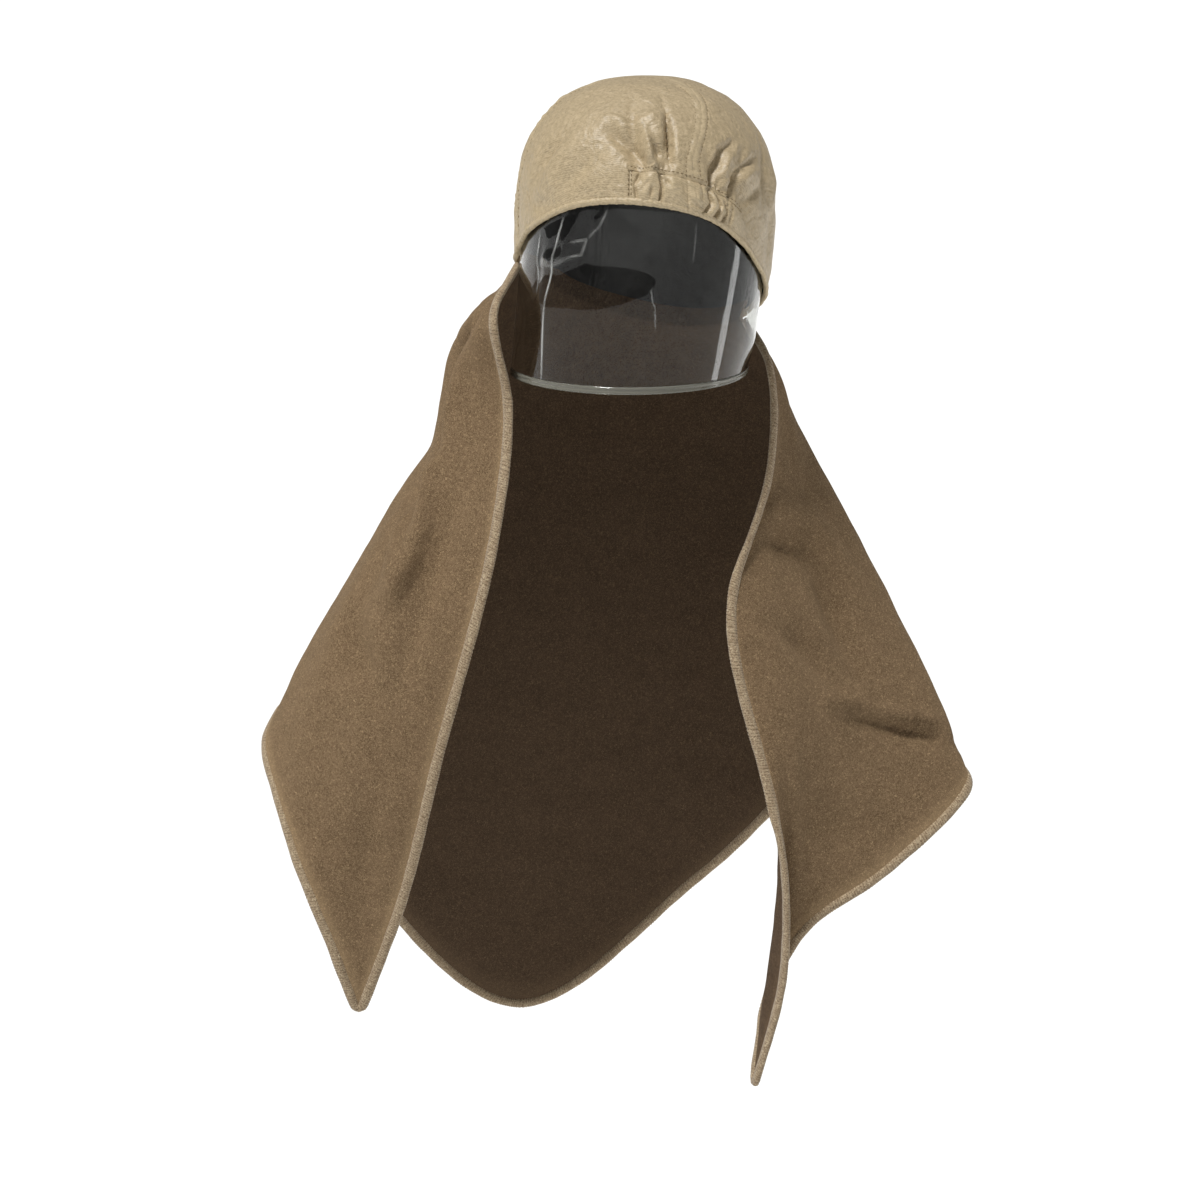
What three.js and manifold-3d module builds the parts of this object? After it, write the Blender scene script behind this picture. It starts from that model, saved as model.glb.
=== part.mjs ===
// Turban hat: a khaki four-panel cap with a gathered front casing, a long wool drape that falls
// from the cap's lower edge into two front tails and a back point, its whipped edge binding, and a
// clear front visor with a bound rim. Millimetres, +Z up, the face side towards -Y. The origin is
// where the head's vertical axis meets the height of the temples.
import * as THREE from 'three';
import { mergeVertices } from 'three/addons/utils/BufferGeometryUtils.js';
import Module from 'manifold-3d';

const manifold = await Module();
manifold.setup();

// Cap
const CAP_WIDTH = 197;
const CAP_DEPTH = 228;
const CAP_TOP = 150; // crown top above the temples
const CAP_FULLEST = 45; // height at which the crown is widest
const CAP_LOWEST = -50; // height at which the crown's own outline ends below the nape
const CAP_WALL = 2;
const CAP_CENTRE = new THREE.Vector2(-1, 5);
const CAP_TURN = 20; // degrees that the cap's front seam is turned towards +X
const CROWN_ROUNDNESS = 2.45; // exponent of the crown's rounded shoulder, 2 is an ellipse
const NAPE_NARROWING = 0.09; // share of the half width that the crown loses at its lower edge
const NAPE_SHIFT = -11; // the lower edge sits this far to the -X side
const PANEL_COUNT = 4;
const PANEL_GAP = 0.25; // each panel stands this far out from the crown's axis
const CLEARANCE = 0.4; // between pieces that fit into each other

// Elastic casing in the front edge
const CASING_START = -8; // degrees about the vertical axis, 0 is the face side
const CASING_END = 45;
const CASING_HEIGHT = 23;
const CASING_WALL = 3;
const GATHER_DEPTH = 1.6;
const GATHER_PITCH = 9; // millimetres between gathers

// Wool drape
const WOOL_WALL = 2.4;
const DRAPE_REACH = 300; // from the axis to the outer corner of a tail
const DRAPE_DEPTH = 150; // from the axis to the back of the drape
const DRAPE_DROP = 620; // from the temples to the tail tips
const DRAPE_TUCK = 9; // how far the wool goes up inside the cap
const DRAPE_LIP = 5; // how far it hangs straight below the cap's edge before it flares
const BINDING_WIDTH = 7.2;
const BINDING_THICKNESS = 5.8;
const TIP_LENGTH = 7; // how far the binding runs on past the wool at each tail tip
const KNOT_RADIUS = 5; // where the binding of the hem meets that of a front edge
const BINDING_ROOT = 0.7; // share of a binding's thickness next to the sheet
const BINDING_NOSE = 0.45; // and along its outer side

// Clear visor
const VISOR_WALL = 1;
const VISOR_WIDTH = 180; // at the rim
const VISOR_DEPTH = 105; // from the ear line to the front of the rim
const VISOR_RIM = -64; // height of the rim
const VISOR_CENTRE = -13; // the rim is centred this far along X
const VISOR_START = -80; // degrees about the vertical axis
const VISOR_END = 102;
const VISOR_TUCK = 14; // how far the visor goes up inside the cap
const VISOR_LIP = 5; // how far it follows the cap on below its edge
const RIM_HEIGHT = 4.6;
const RIM_THICKNESS = 3.2;

// Number of grid steps in each piece
const PANEL_STEPS = 12;
const CASING_STEPS = 26;
const SECTION_STEPS = 4; // between two sections of the drape
const TUCK_STEPS = 2;
const LEVEL_STEPS = 3; // between two levels of the drape
const VISOR_STEPS = 24;
const VISOR_TUCK_ROWS = 2;
const VISOR_ROWS = 7;

// Height of the cap's front and back edge, every 30 degrees from the face side towards +X,
// as shares of the crown's top
const EDGE_HEIGHTS = [0.455, 0.36, 0.115, -0.1, -0.25, -0.3, -0.26, -0.16, 0.0, 0.1, 0.3, 0.44];

// Folds of the crown: azimuth in degrees, height, half length, half width and depth as shares of
// the crown's top, and lean in degrees from upright
const CROWN_FOLDS = [
  { at: -6, height: 0.7, length: 0.16, width: 0.04, depth: -0.035, lean: 14 },
  { at: 1, height: 0.68, length: 0.14, width: 0.035, depth: 0.02, lean: -4 },
  { at: 9, height: 0.72, length: 0.14, width: 0.025, depth: -0.025, lean: -6 },
  { at: 31, height: 0.56, length: 0.12, width: 0.035, depth: -0.03, lean: 14 },
  { at: 44, height: 0.5, length: 0.16, width: 0.04, depth: -0.025, lean: 24 },
  { at: -42, height: 0.68, length: 0.2, width: 0.06, depth: 0.015, lean: -40 },
  { at: -58, height: 0.55, length: 0.18, width: 0.05, depth: -0.015, lean: -30 },
  { at: 68, height: 0.4, length: 0.3, width: 0.05, depth: -0.02, lean: 6 },
];

// Dents of the visor: place across and down as shares of its width and height, half sizes and
// depth as shares of the visor's depth
const VISOR_DENTS = [
  { across: 0.3, down: 0.3, width: 0.16, height: 0.14, depth: -0.05 },
  { across: 0.18, down: 0.55, width: 0.05, height: 0.9, depth: 0.022 },
  { across: 0.86, down: 0.7, width: 0.09, height: 0.35, depth: 0.02 },
];

// Levels of the drape, as shares of a section's drop from the cap's edge to its hem
const LEVELS = { cheek: 0.06, jaw: 0.18, shoulder: 0.36, chest: 0.62, waist: 0.82, hem: 1 };

// Sections of the drape from the left front edge round the back to the right front edge. Azimuth
// where the section leaves the cap, then [out, back] at each level as shares of DRAPE_REACH and
// DRAPE_DEPTH, and the hem's foot as a share of DRAPE_DROP.
const SECTIONS = [
  { name: 'left front edge', azimuth: -84, foot: 0.919,
    cheek: [-0.368, -0.39], jaw: [-0.335, -0.35], shoulder: [-0.378, -0.57],
    chest: [-0.514, -0.69], waist: [-0.615, -0.61], hem: [-0.746, -0.52] },
  { name: 'left panel', azimuth: -88, foot: 0.819,
    cheek: [-0.384, -0.35], jaw: [-0.401, -0.24], shoulder: [-0.457, -0.44],
    chest: [-0.623, -0.64], waist: [-0.719, -0.6], hem: [-0.808, -0.56] },
  { name: 'left crest', azimuth: -92, foot: 0.718,
    cheek: [-0.4, -0.27], jaw: [-0.475, -0.08], shoulder: [-0.529, -0.27],
    chest: [-0.702, -0.53], waist: [-0.798, -0.53], hem: [-0.89, -0.51] },
  { name: 'behind the left crest', azimuth: -100, foot: 0.64,
    cheek: [-0.4, -0.08], jaw: [-0.44, 0.06], shoulder: [-0.5, 0.03],
    chest: [-0.755, -0.33], waist: [-0.866, -0.39], hem: [-0.954, -0.35] },
  { name: 'left corner', azimuth: -112, foot: 0.585,
    cheek: [-0.425, 0.08], jaw: [-0.505, 0.31], shoulder: [-0.552, 0.27],
    chest: [-0.74, -0.05], waist: [-0.888, -0.11], hem: [-0.998, -0.08] },
  { name: 'left side', azimuth: -125, foot: 0.566,
    cheek: [-0.396, 0.32], jaw: [-0.482, 0.56], shoulder: [-0.546, 0.61],
    chest: [-0.712, 0.47], waist: [-0.831, 0.4], hem: [-0.937, 0.32] },
  { name: 'left back', azimuth: -145, foot: 0.888,
    cheek: [-0.276, 0.72], jaw: [-0.374, 0.79], shoulder: [-0.453, 0.85],
    chest: [-0.566, 0.85], waist: [-0.655, 0.8], hem: [-0.73, 0.75] },
  { name: 'back point', azimuth: -170, foot: 1.06,
    cheek: [-0.09, 0.84], jaw: [-0.144, 0.91], shoulder: [-0.195, 0.97],
    chest: [-0.26, 1.0], waist: [-0.306, 0.97], hem: [-0.352, 0.92] },
  { name: 'right back', azimuth: -195, foot: 0.86,
    cheek: [0.098, 0.8], jaw: [0.129, 0.87], shoulder: [0.145, 0.95],
    chest: [0.167, 0.97], waist: [0.184, 0.93], hem: [0.172, 0.88] },
  { name: 'right side', azimuth: -220, foot: 0.624,
    cheek: [0.221, 0.6], jaw: [0.279, 0.66], shoulder: [0.357, 0.69],
    chest: [0.463, 0.65], waist: [0.536, 0.57], hem: [0.622, 0.44] },
  { name: 'right corner', azimuth: -235, foot: 0.639,
    cheek: [0.308, 0.3], jaw: [0.375, 0.33], shoulder: [0.493, 0.29],
    chest: [0.655, 0.17], waist: [0.775, 0.05], hem: [0.856, -0.09] },
  { name: 'right outer panel', azimuth: -242, foot: 0.73,
    cheek: [0.313, 0.21], jaw: [0.363, 0.15], shoulder: [0.42, 0.0],
    chest: [0.52, -0.22], waist: [0.6, -0.3], hem: [0.65, -0.35] },
  { name: 'right panel', azimuth: -248, foot: 0.813,
    cheek: [0.311, 0.12], jaw: [0.341, 0.01], shoulder: [0.313, -0.28],
    chest: [0.367, -0.55], waist: [0.395, -0.51], hem: [0.404, -0.44] },
  { name: 'right tail', azimuth: -251, foot: 0.903,
    cheek: [0.314, 0.05], jaw: [0.331, -0.07], shoulder: [0.247, -0.41],
    chest: [0.331, -0.63], waist: [0.339, -0.52], hem: [0.32, -0.41] },
  { name: 'right front edge', azimuth: -254, foot: 1.017,
    cheek: [0.314, -0.01], jaw: [0.313, -0.17], shoulder: [0.214, -0.49],
    chest: [0.335, -0.67], waist: [0.354, -0.64], hem: [0.282, -0.57] },
];

const radians = THREE.MathUtils.degToRad;

// Catmull-Rom value at a place in a list of numbers that repeats all the way round
function aroundTable(values, place) {
  const index = Math.floor(place);
  const [a, b, c, d] = [-1, 0, 1, 2].map(
    (step) => values[(((index + step) % values.length) + values.length) % values.length],
  );
  const f = place - index;
  return b + 0.5 * f * (c - a + f * (2 * a - 5 * b + 4 * c - d + f * (3 * (b - c) + d - a)));
}

function edgeHeight(azimuth) {
  const perDegree = EDGE_HEIGHTS.length / 360;
  return CAP_TOP * aroundTable(EDGE_HEIGHTS, azimuth * perDegree);
}

// The plain crown at one azimuth and height: an ellipse that narrows to a rounded top by a
// superellipse, and narrows and shifts a little towards the nape
function crownAt(azimuth, height) {
  const rise = Math.max(0, (height - CAP_FULLEST) / (CAP_TOP - CAP_FULLEST));
  const fall = Math.max(0, (CAP_FULLEST - height) / (CAP_FULLEST - CAP_LOWEST));
  const rounded = (1 - Math.min(1, rise) ** CROWN_ROUNDNESS) ** (1 / CROWN_ROUNDNESS);
  const share = rounded * (1 - NAPE_NARROWING * fall ** 2);
  const angle = radians(azimuth);
  return new THREE.Vector3(
    CAP_CENTRE.x + NAPE_SHIFT * fall ** 2 + (CAP_WIDTH / 2) * share * Math.sin(angle),
    CAP_CENTRE.y - (CAP_DEPTH / 2) * share * Math.cos(angle),
    height,
  );
}

// Sum of the crown's folds at one azimuth and height: each is a smooth ridge or valley along a line
function foldDepth(azimuth, height) {
  return CROWN_FOLDS.reduce((sum, fold) => {
    const across = radians(azimuth - fold.at) * (CAP_WIDTH / 2);
    const up = height - fold.height * CAP_TOP;
    const lean = radians(fold.lean);
    const along = up * Math.cos(lean) - across * Math.sin(lean);
    const aside = across * Math.cos(lean) + up * Math.sin(lean);
    const length = along / (fold.length * CAP_TOP);
    const width = aside / (fold.width * CAP_TOP);
    return sum + fold.depth * CAP_TOP * Math.exp(-(length ** 2) - width ** 2);
  }, 0);
}

// A point of the crown's outer face. Share 0 is the cap's edge and 1 the crown's top. The rounded
// shoulder is stepped by angle, so that rows stay evenly spaced where the crown turns over.
function capPoint(azimuth, share) {
  const edge = edgeHeight(azimuth);
  const turn = (height) => Math.asin(Math.max(-1, (height - CAP_LOWEST) / (CAP_TOP - CAP_LOWEST)));
  const start = turn(edge);
  const height = CAP_LOWEST
    + (CAP_TOP - CAP_LOWEST) * Math.sin(start + (Math.PI / 2 - start) * share);
  return crownAt(azimuth, Math.min(height, CAP_TOP));
}

// Outward direction of the plain crown, from two steps along its surface
function crownNormal(azimuth, height) {
  const low = Math.min(height, CAP_TOP - 1);
  const across = crownAt(azimuth + 0.5, low).sub(crownAt(azimuth - 0.5, low));
  const up = crownAt(azimuth, low + 0.5).sub(crownAt(azimuth, low - 0.5));
  return across.cross(up).normalize();
}

// The crown with its folds, moved in or out along its own outward direction
function crownOffset(azimuth, height, offset) {
  const depth = foldDepth(azimuth, height) + offset;
  return crownAt(azimuth, height).addScaledVector(crownNormal(azimuth, height), depth);
}

// A closed solid from a grid of middle points and outward directions: an outer and an inner skin
// joined by a rim. Outer and inner are how far each skin lies from the grid.
function shellGeometry(grid, outer, inner) {
  const positions = [];
  const rows = grid.length;
  const columns = grid[0].length;
  const place = (skin, row, column) => (skin * rows + row) * columns + column;
  [outer, -inner].forEach((offset) => {
    grid.flat().forEach(({ point, normal, extra = 0 }) => {
      const moved = point.clone().addScaledVector(normal, offset + (offset > 0 ? extra : 0));
      positions.push(moved.x, moved.y, moved.z);
    });
  });
  const triangles = [];
  const quad = (a, b, c, d) => triangles.push(a, b, c, a, c, d);
  for (let row = 0; row < rows - 1; row += 1) {
    for (let column = 0; column < columns - 1; column += 1) {
      const corners = [[row, column], [row, column + 1], [row + 1, column + 1], [row + 1, column]];
      quad(...corners.map(([r, c]) => place(0, r, c)));
      quad(...corners.reverse().map(([r, c]) => place(1, r, c)));
    }
  }
  const rim = [];
  for (let column = 0; column < columns - 1; column += 1) rim.push([0, column]);
  for (let row = 0; row < rows - 1; row += 1) rim.push([row, columns - 1]);
  for (let column = columns - 1; column > 0; column -= 1) rim.push([rows - 1, column]);
  for (let row = rows - 1; row > 0; row -= 1) rim.push([row, 0]);
  rim.forEach(([r, c], index) => {
    const [nextRow, nextColumn] = rim[(index + 1) % rim.length];
    quad(place(0, r, c), place(1, r, c), place(1, nextRow, nextColumn), place(0, nextRow, nextColumn));
  });
  return closedGeometry(positions, triangles);
}

// A closed solid that carries a flat section along a path of frames. The section's x runs along
// each frame's outward direction and its y along the normal.
function sweptGeometry(frames, section) {
  const count = section.length;
  const positions = frames.flatMap(({ point, outward, normal }) => section.flatMap(({ x, y }) => (
    point.clone().addScaledVector(outward, x).addScaledVector(normal, y).toArray()
  )));
  const triangles = [];
  for (let step = 0; step < frames.length - 1; step += 1) {
    for (let side = 0; side < count; side += 1) {
      const [a, b] = [step * count + side, step * count + ((side + 1) % count)];
      triangles.push(a, b, b + count, a, b + count, a + count);
    }
  }
  const end = (frames.length - 1) * count;
  THREE.ShapeUtils.triangulateShape(section, []).forEach(([a, b, c]) => {
    triangles.push(c, b, a, end + a, end + b, end + c);
  });
  return closedGeometry(positions, triangles);
}

// Merges shared vertices, drops triangles that merging made empty and turns the faces outwards
function closedGeometry(positions, triangles) {
  let geometry = new THREE.BufferGeometry();
  geometry.setAttribute('position', new THREE.Float32BufferAttribute(positions, 3));
  geometry.setIndex(triangles);
  geometry = mergeVertices(geometry, 1e-4);
  const index = geometry.index.array;
  const kept = [];
  for (let i = 0; i < index.length; i += 3) {
    const [a, b, c] = [index[i], index[i + 1], index[i + 2]];
    if (a !== b && b !== c && c !== a) kept.push(a, b, c);
  }
  if (signedVolume(geometry.attributes.position, kept) < 0) kept.reverse();
  geometry.setIndex(kept);
  return geometry;
}

function signedVolume(position, index) {
  const [a, b, c] = [new THREE.Vector3(), new THREE.Vector3(), new THREE.Vector3()];
  let volume = 0;
  for (let i = 0; i < index.length; i += 3) {
    a.fromBufferAttribute(position, index[i]);
    b.fromBufferAttribute(position, index[i + 1]);
    c.fromBufferAttribute(position, index[i + 2]);
    volume += a.dot(b.cross(c)) / 6;
  }
  return volume;
}

function toSolid(geometry) {
  return new manifold.Manifold(new manifold.Mesh({
    numProp: 3,
    vertProperties: new Float32Array(geometry.attributes.position.array),
    triVerts: new Uint32Array(geometry.index.array),
  }));
}

function toGeometry(solid) {
  const mesh = solid.getMesh();
  const geometry = new THREE.BufferGeometry();
  geometry.setAttribute('position', new THREE.Float32BufferAttribute(mesh.vertProperties, 3));
  geometry.setIndex(Array.from(mesh.triVerts));
  return geometry;
}

function makeGrid(rows, columns, cell) {
  return Array.from({ length: rows + 1 }, (_, row) => Array.from(
    { length: columns + 1 },
    (_unused, column) => cell(column / columns, row / rows, row, column),
  ));
}

// One crown panel between two seams, with its share of the folds
function panelGeometry(start, end) {
  const apart = radians((start + end) / 2);
  const shift = new THREE.Vector3(Math.sin(apart), -Math.cos(apart), 0).multiplyScalar(PANEL_GAP);
  const grid = makeGrid(PANEL_STEPS, PANEL_STEPS, (across, up) => {
    const azimuth = THREE.MathUtils.lerp(start, end, across);
    const outer = capPoint(azimuth, up);
    const normal = up < 1 ? crownNormal(azimuth, outer.z) : new THREE.Vector3(0, 0, 1);
    const point = outer.clone().add(shift).addScaledVector(normal, foldDepth(azimuth, outer.z));
    return { point, normal };
  });
  return shellGeometry(grid, 0, CAP_WALL);
}

// A band of the crown along its front edge. Ripple is the height of its gathers. Grow widens the
// band at its top and ends and below lengthens it downwards, so that a larger band can be cut
// away from the crown to leave room for this one.
function casingGeometry(ripple, grow, below, outer, inner) {
  const edgeGrow = THREE.MathUtils.radToDeg(grow / (CAP_DEPTH / 2));
  const [start, end] = [CASING_START - edgeGrow, CASING_END + edgeGrow];
  const length = radians(end - start) * (CAP_DEPTH / 2);
  const grid = makeGrid(2, CASING_STEPS, (across, up) => {
    const azimuth = THREE.MathUtils.lerp(start, end, across);
    const height = edgeHeight(azimuth) + THREE.MathUtils.lerp(-below, CASING_HEIGHT + grow, up);
    const wave = Math.sin((across * length * Math.PI * 2) / GATHER_PITCH);
    const fade = Math.sin(across * Math.PI) ** 0.5;
    return {
      point: crownOffset(azimuth, height, 0),
      normal: crownNormal(azimuth, height),
      extra: ripple * fade * (0.5 + 0.5 * wave),
    };
  });
  return shellGeometry(grid, outer, inner);
}

// The drape's middle surface. It follows the cap's inner face down past the edge, then runs on a
// curve through the levels of its section.
const drapeInset = -(CAP_WALL + CLEARANCE + WOOL_WALL / 2);

function sectionCurve(section) {
  const lip = crownOffset(section.azimuth, edgeHeight(section.azimuth) - DRAPE_LIP, drapeInset);
  const foot = -section.foot * DRAPE_DROP;
  const points = Object.entries(LEVELS).map(([level, share]) => new THREE.Vector3(
    section[level][0] * DRAPE_REACH,
    section[level][1] * DRAPE_DEPTH,
    THREE.MathUtils.lerp(lip.z, foot, share),
  ));
  return new THREE.CatmullRomCurve3([lip, ...points]);
}

// A line of points shortened at both ends, with its points still spaced in the same shares
function shortened(points, atStart, atEnd) {
  const reach = [0];
  points.slice(1).forEach((point, index) => reach.push(reach[index] + point.distanceTo(points[index])));
  const whole = reach.at(-1);
  return reach.map((distance) => {
    const wanted = atStart + (distance / whole) * (whole - atStart - atEnd);
    const next = Math.max(1, reach.findIndex((mark) => mark >= wanted));
    const share = (wanted - reach[next - 1]) / (reach[next] - reach[next - 1]);
    return points[next - 1].clone().lerp(points[next], share);
  });
}

// The drape's grid, drawn in at its free edges by the width of the binding
function drapeGrid() {
  const columns = (SECTIONS.length - 1) * SECTION_STEPS;
  const azimuths = new THREE.SplineCurve(
    SECTIONS.map((section, index) => new THREE.Vector2(index, section.azimuth)),
  );
  const curves = SECTIONS.map(sectionCurve);
  const levelRows = Object.keys(LEVELS).length * LEVEL_STEPS;
  const rows = [];
  for (let row = 0; row < TUCK_STEPS; row += 1) {
    const above = THREE.MathUtils.lerp(DRAPE_TUCK, -DRAPE_LIP, row / TUCK_STEPS);
    rows.push(Array.from({ length: columns + 1 }, (_, column) => {
      const azimuth = azimuths.getPoint(column / columns).y;
      return crownOffset(azimuth, edgeHeight(azimuth) + above, drapeInset);
    }));
  }
  for (let row = 0; row <= levelRows; row += 1) {
    const across = new THREE.CatmullRomCurve3(curves.map((curve) => curve.getPoint(row / levelRows)));
    rows.push(Array.from({ length: columns + 1 }, (_, column) => across.getPoint(column / columns)));
  }
  const narrowed = rows.map((points) => shortened(points, BINDING_WIDTH, BINDING_WIDTH));
  const lines = narrowed[0].map((_, column) => (
    shortened(narrowed.map((points) => points[column]), 0, BINDING_WIDTH)
  ));
  const trimmed = narrowed.map((_, row) => lines.map((line) => line[row]));
  return trimmed.map((points, row) => points.map((point, column) => {
    const above = trimmed[Math.max(0, row - 1)][column];
    const below = trimmed[Math.min(trimmed.length - 1, row + 1)][column];
    const before = points[Math.max(0, column - 1)];
    const after = points[Math.min(columns, column + 1)];
    const normal = above.clone().sub(below).cross(after.clone().sub(before)).normalize();
    return { point, normal };
  }));
}

// Frames along one side of a grid: outward lies in the sheet, square to its edge
function edgeFrames(edge, inside) {
  return edge.map(({ point, normal }, index) => {
    const before = edge[Math.max(0, index - 1)].point;
    const after = edge[Math.min(edge.length - 1, index + 1)].point;
    const tangent = after.clone().sub(before).normalize();
    const outward = point.clone().sub(inside[index].point);
    outward.addScaledVector(tangent, -outward.dot(tangent)).normalize();
    return { point, outward, normal };
  });
}

// Six-sided section of a binding that starts just clear of the sheet's edge at 0 and runs outwards
function bindingSection(width, thickness) {
  const half = thickness / 2;
  const middle = CLEARANCE + width / 2;
  return [
    [CLEARANCE, -half * BINDING_ROOT],
    [middle, -half],
    [CLEARANCE + width, -half * BINDING_NOSE],
    [CLEARANCE + width, half * BINDING_NOSE],
    [middle, half],
    [CLEARANCE, half * BINDING_ROOT],
  ].map(([x, y]) => new THREE.Vector2(x, y));
}

// A path of frames that runs straight on past its last frame
function extended(frames, length) {
  const end = frames.at(-1);
  const onward = end.point.clone().sub(frames.at(-2).point).setLength(length);
  return [...frames, { ...end, point: end.point.clone().add(onward) }];
}

// The whipped binding round the wool: two front edges and the hem, joined by a knot at each tip
function edgeBindingGeometry(grid) {
  const last = grid[0].length - 1;
  const free = grid.slice(TUCK_STEPS + 1);
  const section = bindingSection(BINDING_WIDTH, BINDING_THICKNESS);
  const left = extended(edgeFrames(free.map((row) => row[0]), free.map((row) => row[1])), TIP_LENGTH);
  const right = extended(
    edgeFrames(free.map((row) => row[last]), free.map((row) => row[last - 1])), TIP_LENGTH,
  );
  const hem = edgeFrames(grid.at(-1), grid.at(-2));
  const bothWays = extended(extended(hem, TIP_LENGTH).reverse(), TIP_LENGTH);
  const runs = [left, bothWays, right].map((frames) => toSolid(sweptGeometry(frames, section)));
  const knots = [left, right].map((frames) => {
    const knot = new THREE.SphereGeometry(KNOT_RADIUS, 8, 6);
    knot.deleteAttribute('normal');
    knot.deleteAttribute('uv');
    const { x, y, z } = frames.at(-1).point;
    knot.translate(x, y, z);
    const [positions, triangles] = [knot.attributes.position.array, knot.index.array];
    return toSolid(closedGeometry(Array.from(positions), Array.from(triangles)));
  });
  return toGeometry([...runs, ...knots].reduce((whole, piece) => whole.add(piece)));
}

// The visor's middle surface: it follows the cap's inner face to just below the edge, then eases
// out to the level rim
function visorGrid() {
  const inset = -(CASING_WALL + 2 * CLEARANCE + VISOR_WALL / 2);
  return makeGrid(VISOR_ROWS, VISOR_STEPS, (across, down, row) => {
    const azimuth = THREE.MathUtils.lerp(VISOR_START, VISOR_END, across);
    const edge = edgeHeight(azimuth);
    const tucked = Math.min(1, row / VISOR_TUCK_ROWS);
    const above = THREE.MathUtils.lerp(VISOR_TUCK, -VISOR_LIP, tucked);
    const upper = crownOffset(azimuth, edge + above, inset);
    const angle = radians(azimuth);
    const rim = new THREE.Vector3(
      VISOR_CENTRE + (VISOR_WIDTH / 2) * Math.sin(angle),
      -VISOR_DEPTH * Math.cos(angle),
      VISOR_RIM,
    );
    const fall = Math.max(0, (row - VISOR_TUCK_ROWS) / (VISOR_ROWS - VISOR_TUCK_ROWS));
    const point = upper.clone().lerp(rim, fall);
    const normal = new THREE.Vector3(Math.sin(angle), -Math.cos(angle), 0);
    const dent = VISOR_DENTS.reduce((sum, spot) => {
      const x = (across - spot.across) / spot.width;
      const y = (fall - spot.down) / spot.height;
      return sum + spot.depth * VISOR_DEPTH * Math.exp(-(x ** 2) - y ** 2);
    }, 0);
    return { point: point.addScaledVector(normal, dent * Math.sin(fall * Math.PI)), normal };
  });
}

function visorBindingGeometry(grid) {
  const section = bindingSection(RIM_HEIGHT, RIM_THICKNESS);
  return sweptGeometry(edgeFrames(grid.at(-1), grid.at(-2)), section);
}

const cotton = () => new THREE.MeshStandardMaterial({ color: 0xb9a67c, roughness: 0.6, metalness: 0 });
const wool = () => new THREE.MeshStandardMaterial({ color: 0x7d644c, roughness: 0.95, metalness: 0 });
const whipping = () => new THREE.MeshStandardMaterial({ color: 0xa88f74, roughness: 0.9, metalness: 0 });
const clearVinyl = () => new THREE.MeshStandardMaterial({
  color: 0xc9cbc6, roughness: 0.08, metalness: 0, transparent: true, opacity: 0.35,
});

const hat = new THREE.Group();

function addPiece(name, geometry, material) {
  geometry.computeVertexNormals();
  const mesh = new THREE.Mesh(geometry, material);
  mesh.name = name;
  hat.add(mesh);
}

const panelTurn = 360 / PANEL_COUNT;
const panelNames = ['front_right', 'back_right', 'back_left', 'front_left'];
const roomDepth = 3 * CAP_WALL;
const casingRoom = toSolid(casingGeometry(0, CLEARANCE, CASING_HEIGHT, roomDepth, roomDepth));
panelNames.forEach((side, index) => {
  const start = CAP_TURN + index * panelTurn;
  const whole = toSolid(panelGeometry(start, start + panelTurn));
  const meetsCasing = side.startsWith('front');
  addPiece(`crown_panel_${side}`, toGeometry(meetsCasing ? whole.subtract(casingRoom) : whole), cotton());
});
addPiece('elastic_casing', casingGeometry(GATHER_DEPTH, 0, 0, 0, CASING_WALL), cotton());

const drape = drapeGrid();
addPiece('wool_drape', shellGeometry(drape, WOOL_WALL / 2, WOOL_WALL / 2), wool());
addPiece('edge_binding', edgeBindingGeometry(drape), whipping());

const visor = visorGrid();
addPiece('clear_visor', shellGeometry(visor, VISOR_WALL / 2, VISOR_WALL / 2), clearVinyl());
addPiece('visor_binding', visorBindingGeometry(visor), clearVinyl());

export default hat;
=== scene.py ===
"""Turban hat: a khaki sateen cap with a gathered front casing, a wool flannel drape with a
whipped edge, and a clear vinyl visor. The forms repeat the CAD model's own tables, on finer
grids and with the relief of the cloth. Shapes are worked out in millimetres in the CAD frame
(+Z up, the face side towards -Y) and scaled to metres when they are put into a mesh.
"""

import logging
from dataclasses import dataclass, field
from enum import Enum
from typing import Any, Sequence

import bmesh
import bpy
import numpy as np
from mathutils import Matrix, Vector


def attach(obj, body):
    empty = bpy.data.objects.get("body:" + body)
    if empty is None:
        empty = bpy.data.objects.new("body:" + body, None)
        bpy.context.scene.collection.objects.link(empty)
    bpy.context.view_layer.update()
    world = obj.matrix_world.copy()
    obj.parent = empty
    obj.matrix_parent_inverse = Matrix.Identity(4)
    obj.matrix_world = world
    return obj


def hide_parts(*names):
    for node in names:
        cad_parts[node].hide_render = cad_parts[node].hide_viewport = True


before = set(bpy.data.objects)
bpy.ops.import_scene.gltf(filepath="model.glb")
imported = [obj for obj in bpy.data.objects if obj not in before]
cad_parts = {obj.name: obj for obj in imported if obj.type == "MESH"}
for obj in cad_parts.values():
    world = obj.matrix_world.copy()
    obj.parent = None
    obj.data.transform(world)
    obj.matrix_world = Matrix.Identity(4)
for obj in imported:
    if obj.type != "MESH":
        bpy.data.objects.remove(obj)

Array = np.ndarray
MM = 0.001
TAU = 2.0 * np.pi
log = logging.getLogger("turban_hat")


class Skin(Enum):
    """Which face of a cloth wall a mesh face belongs to."""

    OUTER = 0
    INNER = 1
    RIM = 2


# Height of the cap's edge, every 30 degrees from the face side towards +X, as shares of its top
EDGE_HEIGHTS = np.array([0.455, 0.36, 0.115, -0.1, -0.25, -0.3, -0.26, -0.16, 0.0, 0.1, 0.3, 0.44])

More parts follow.
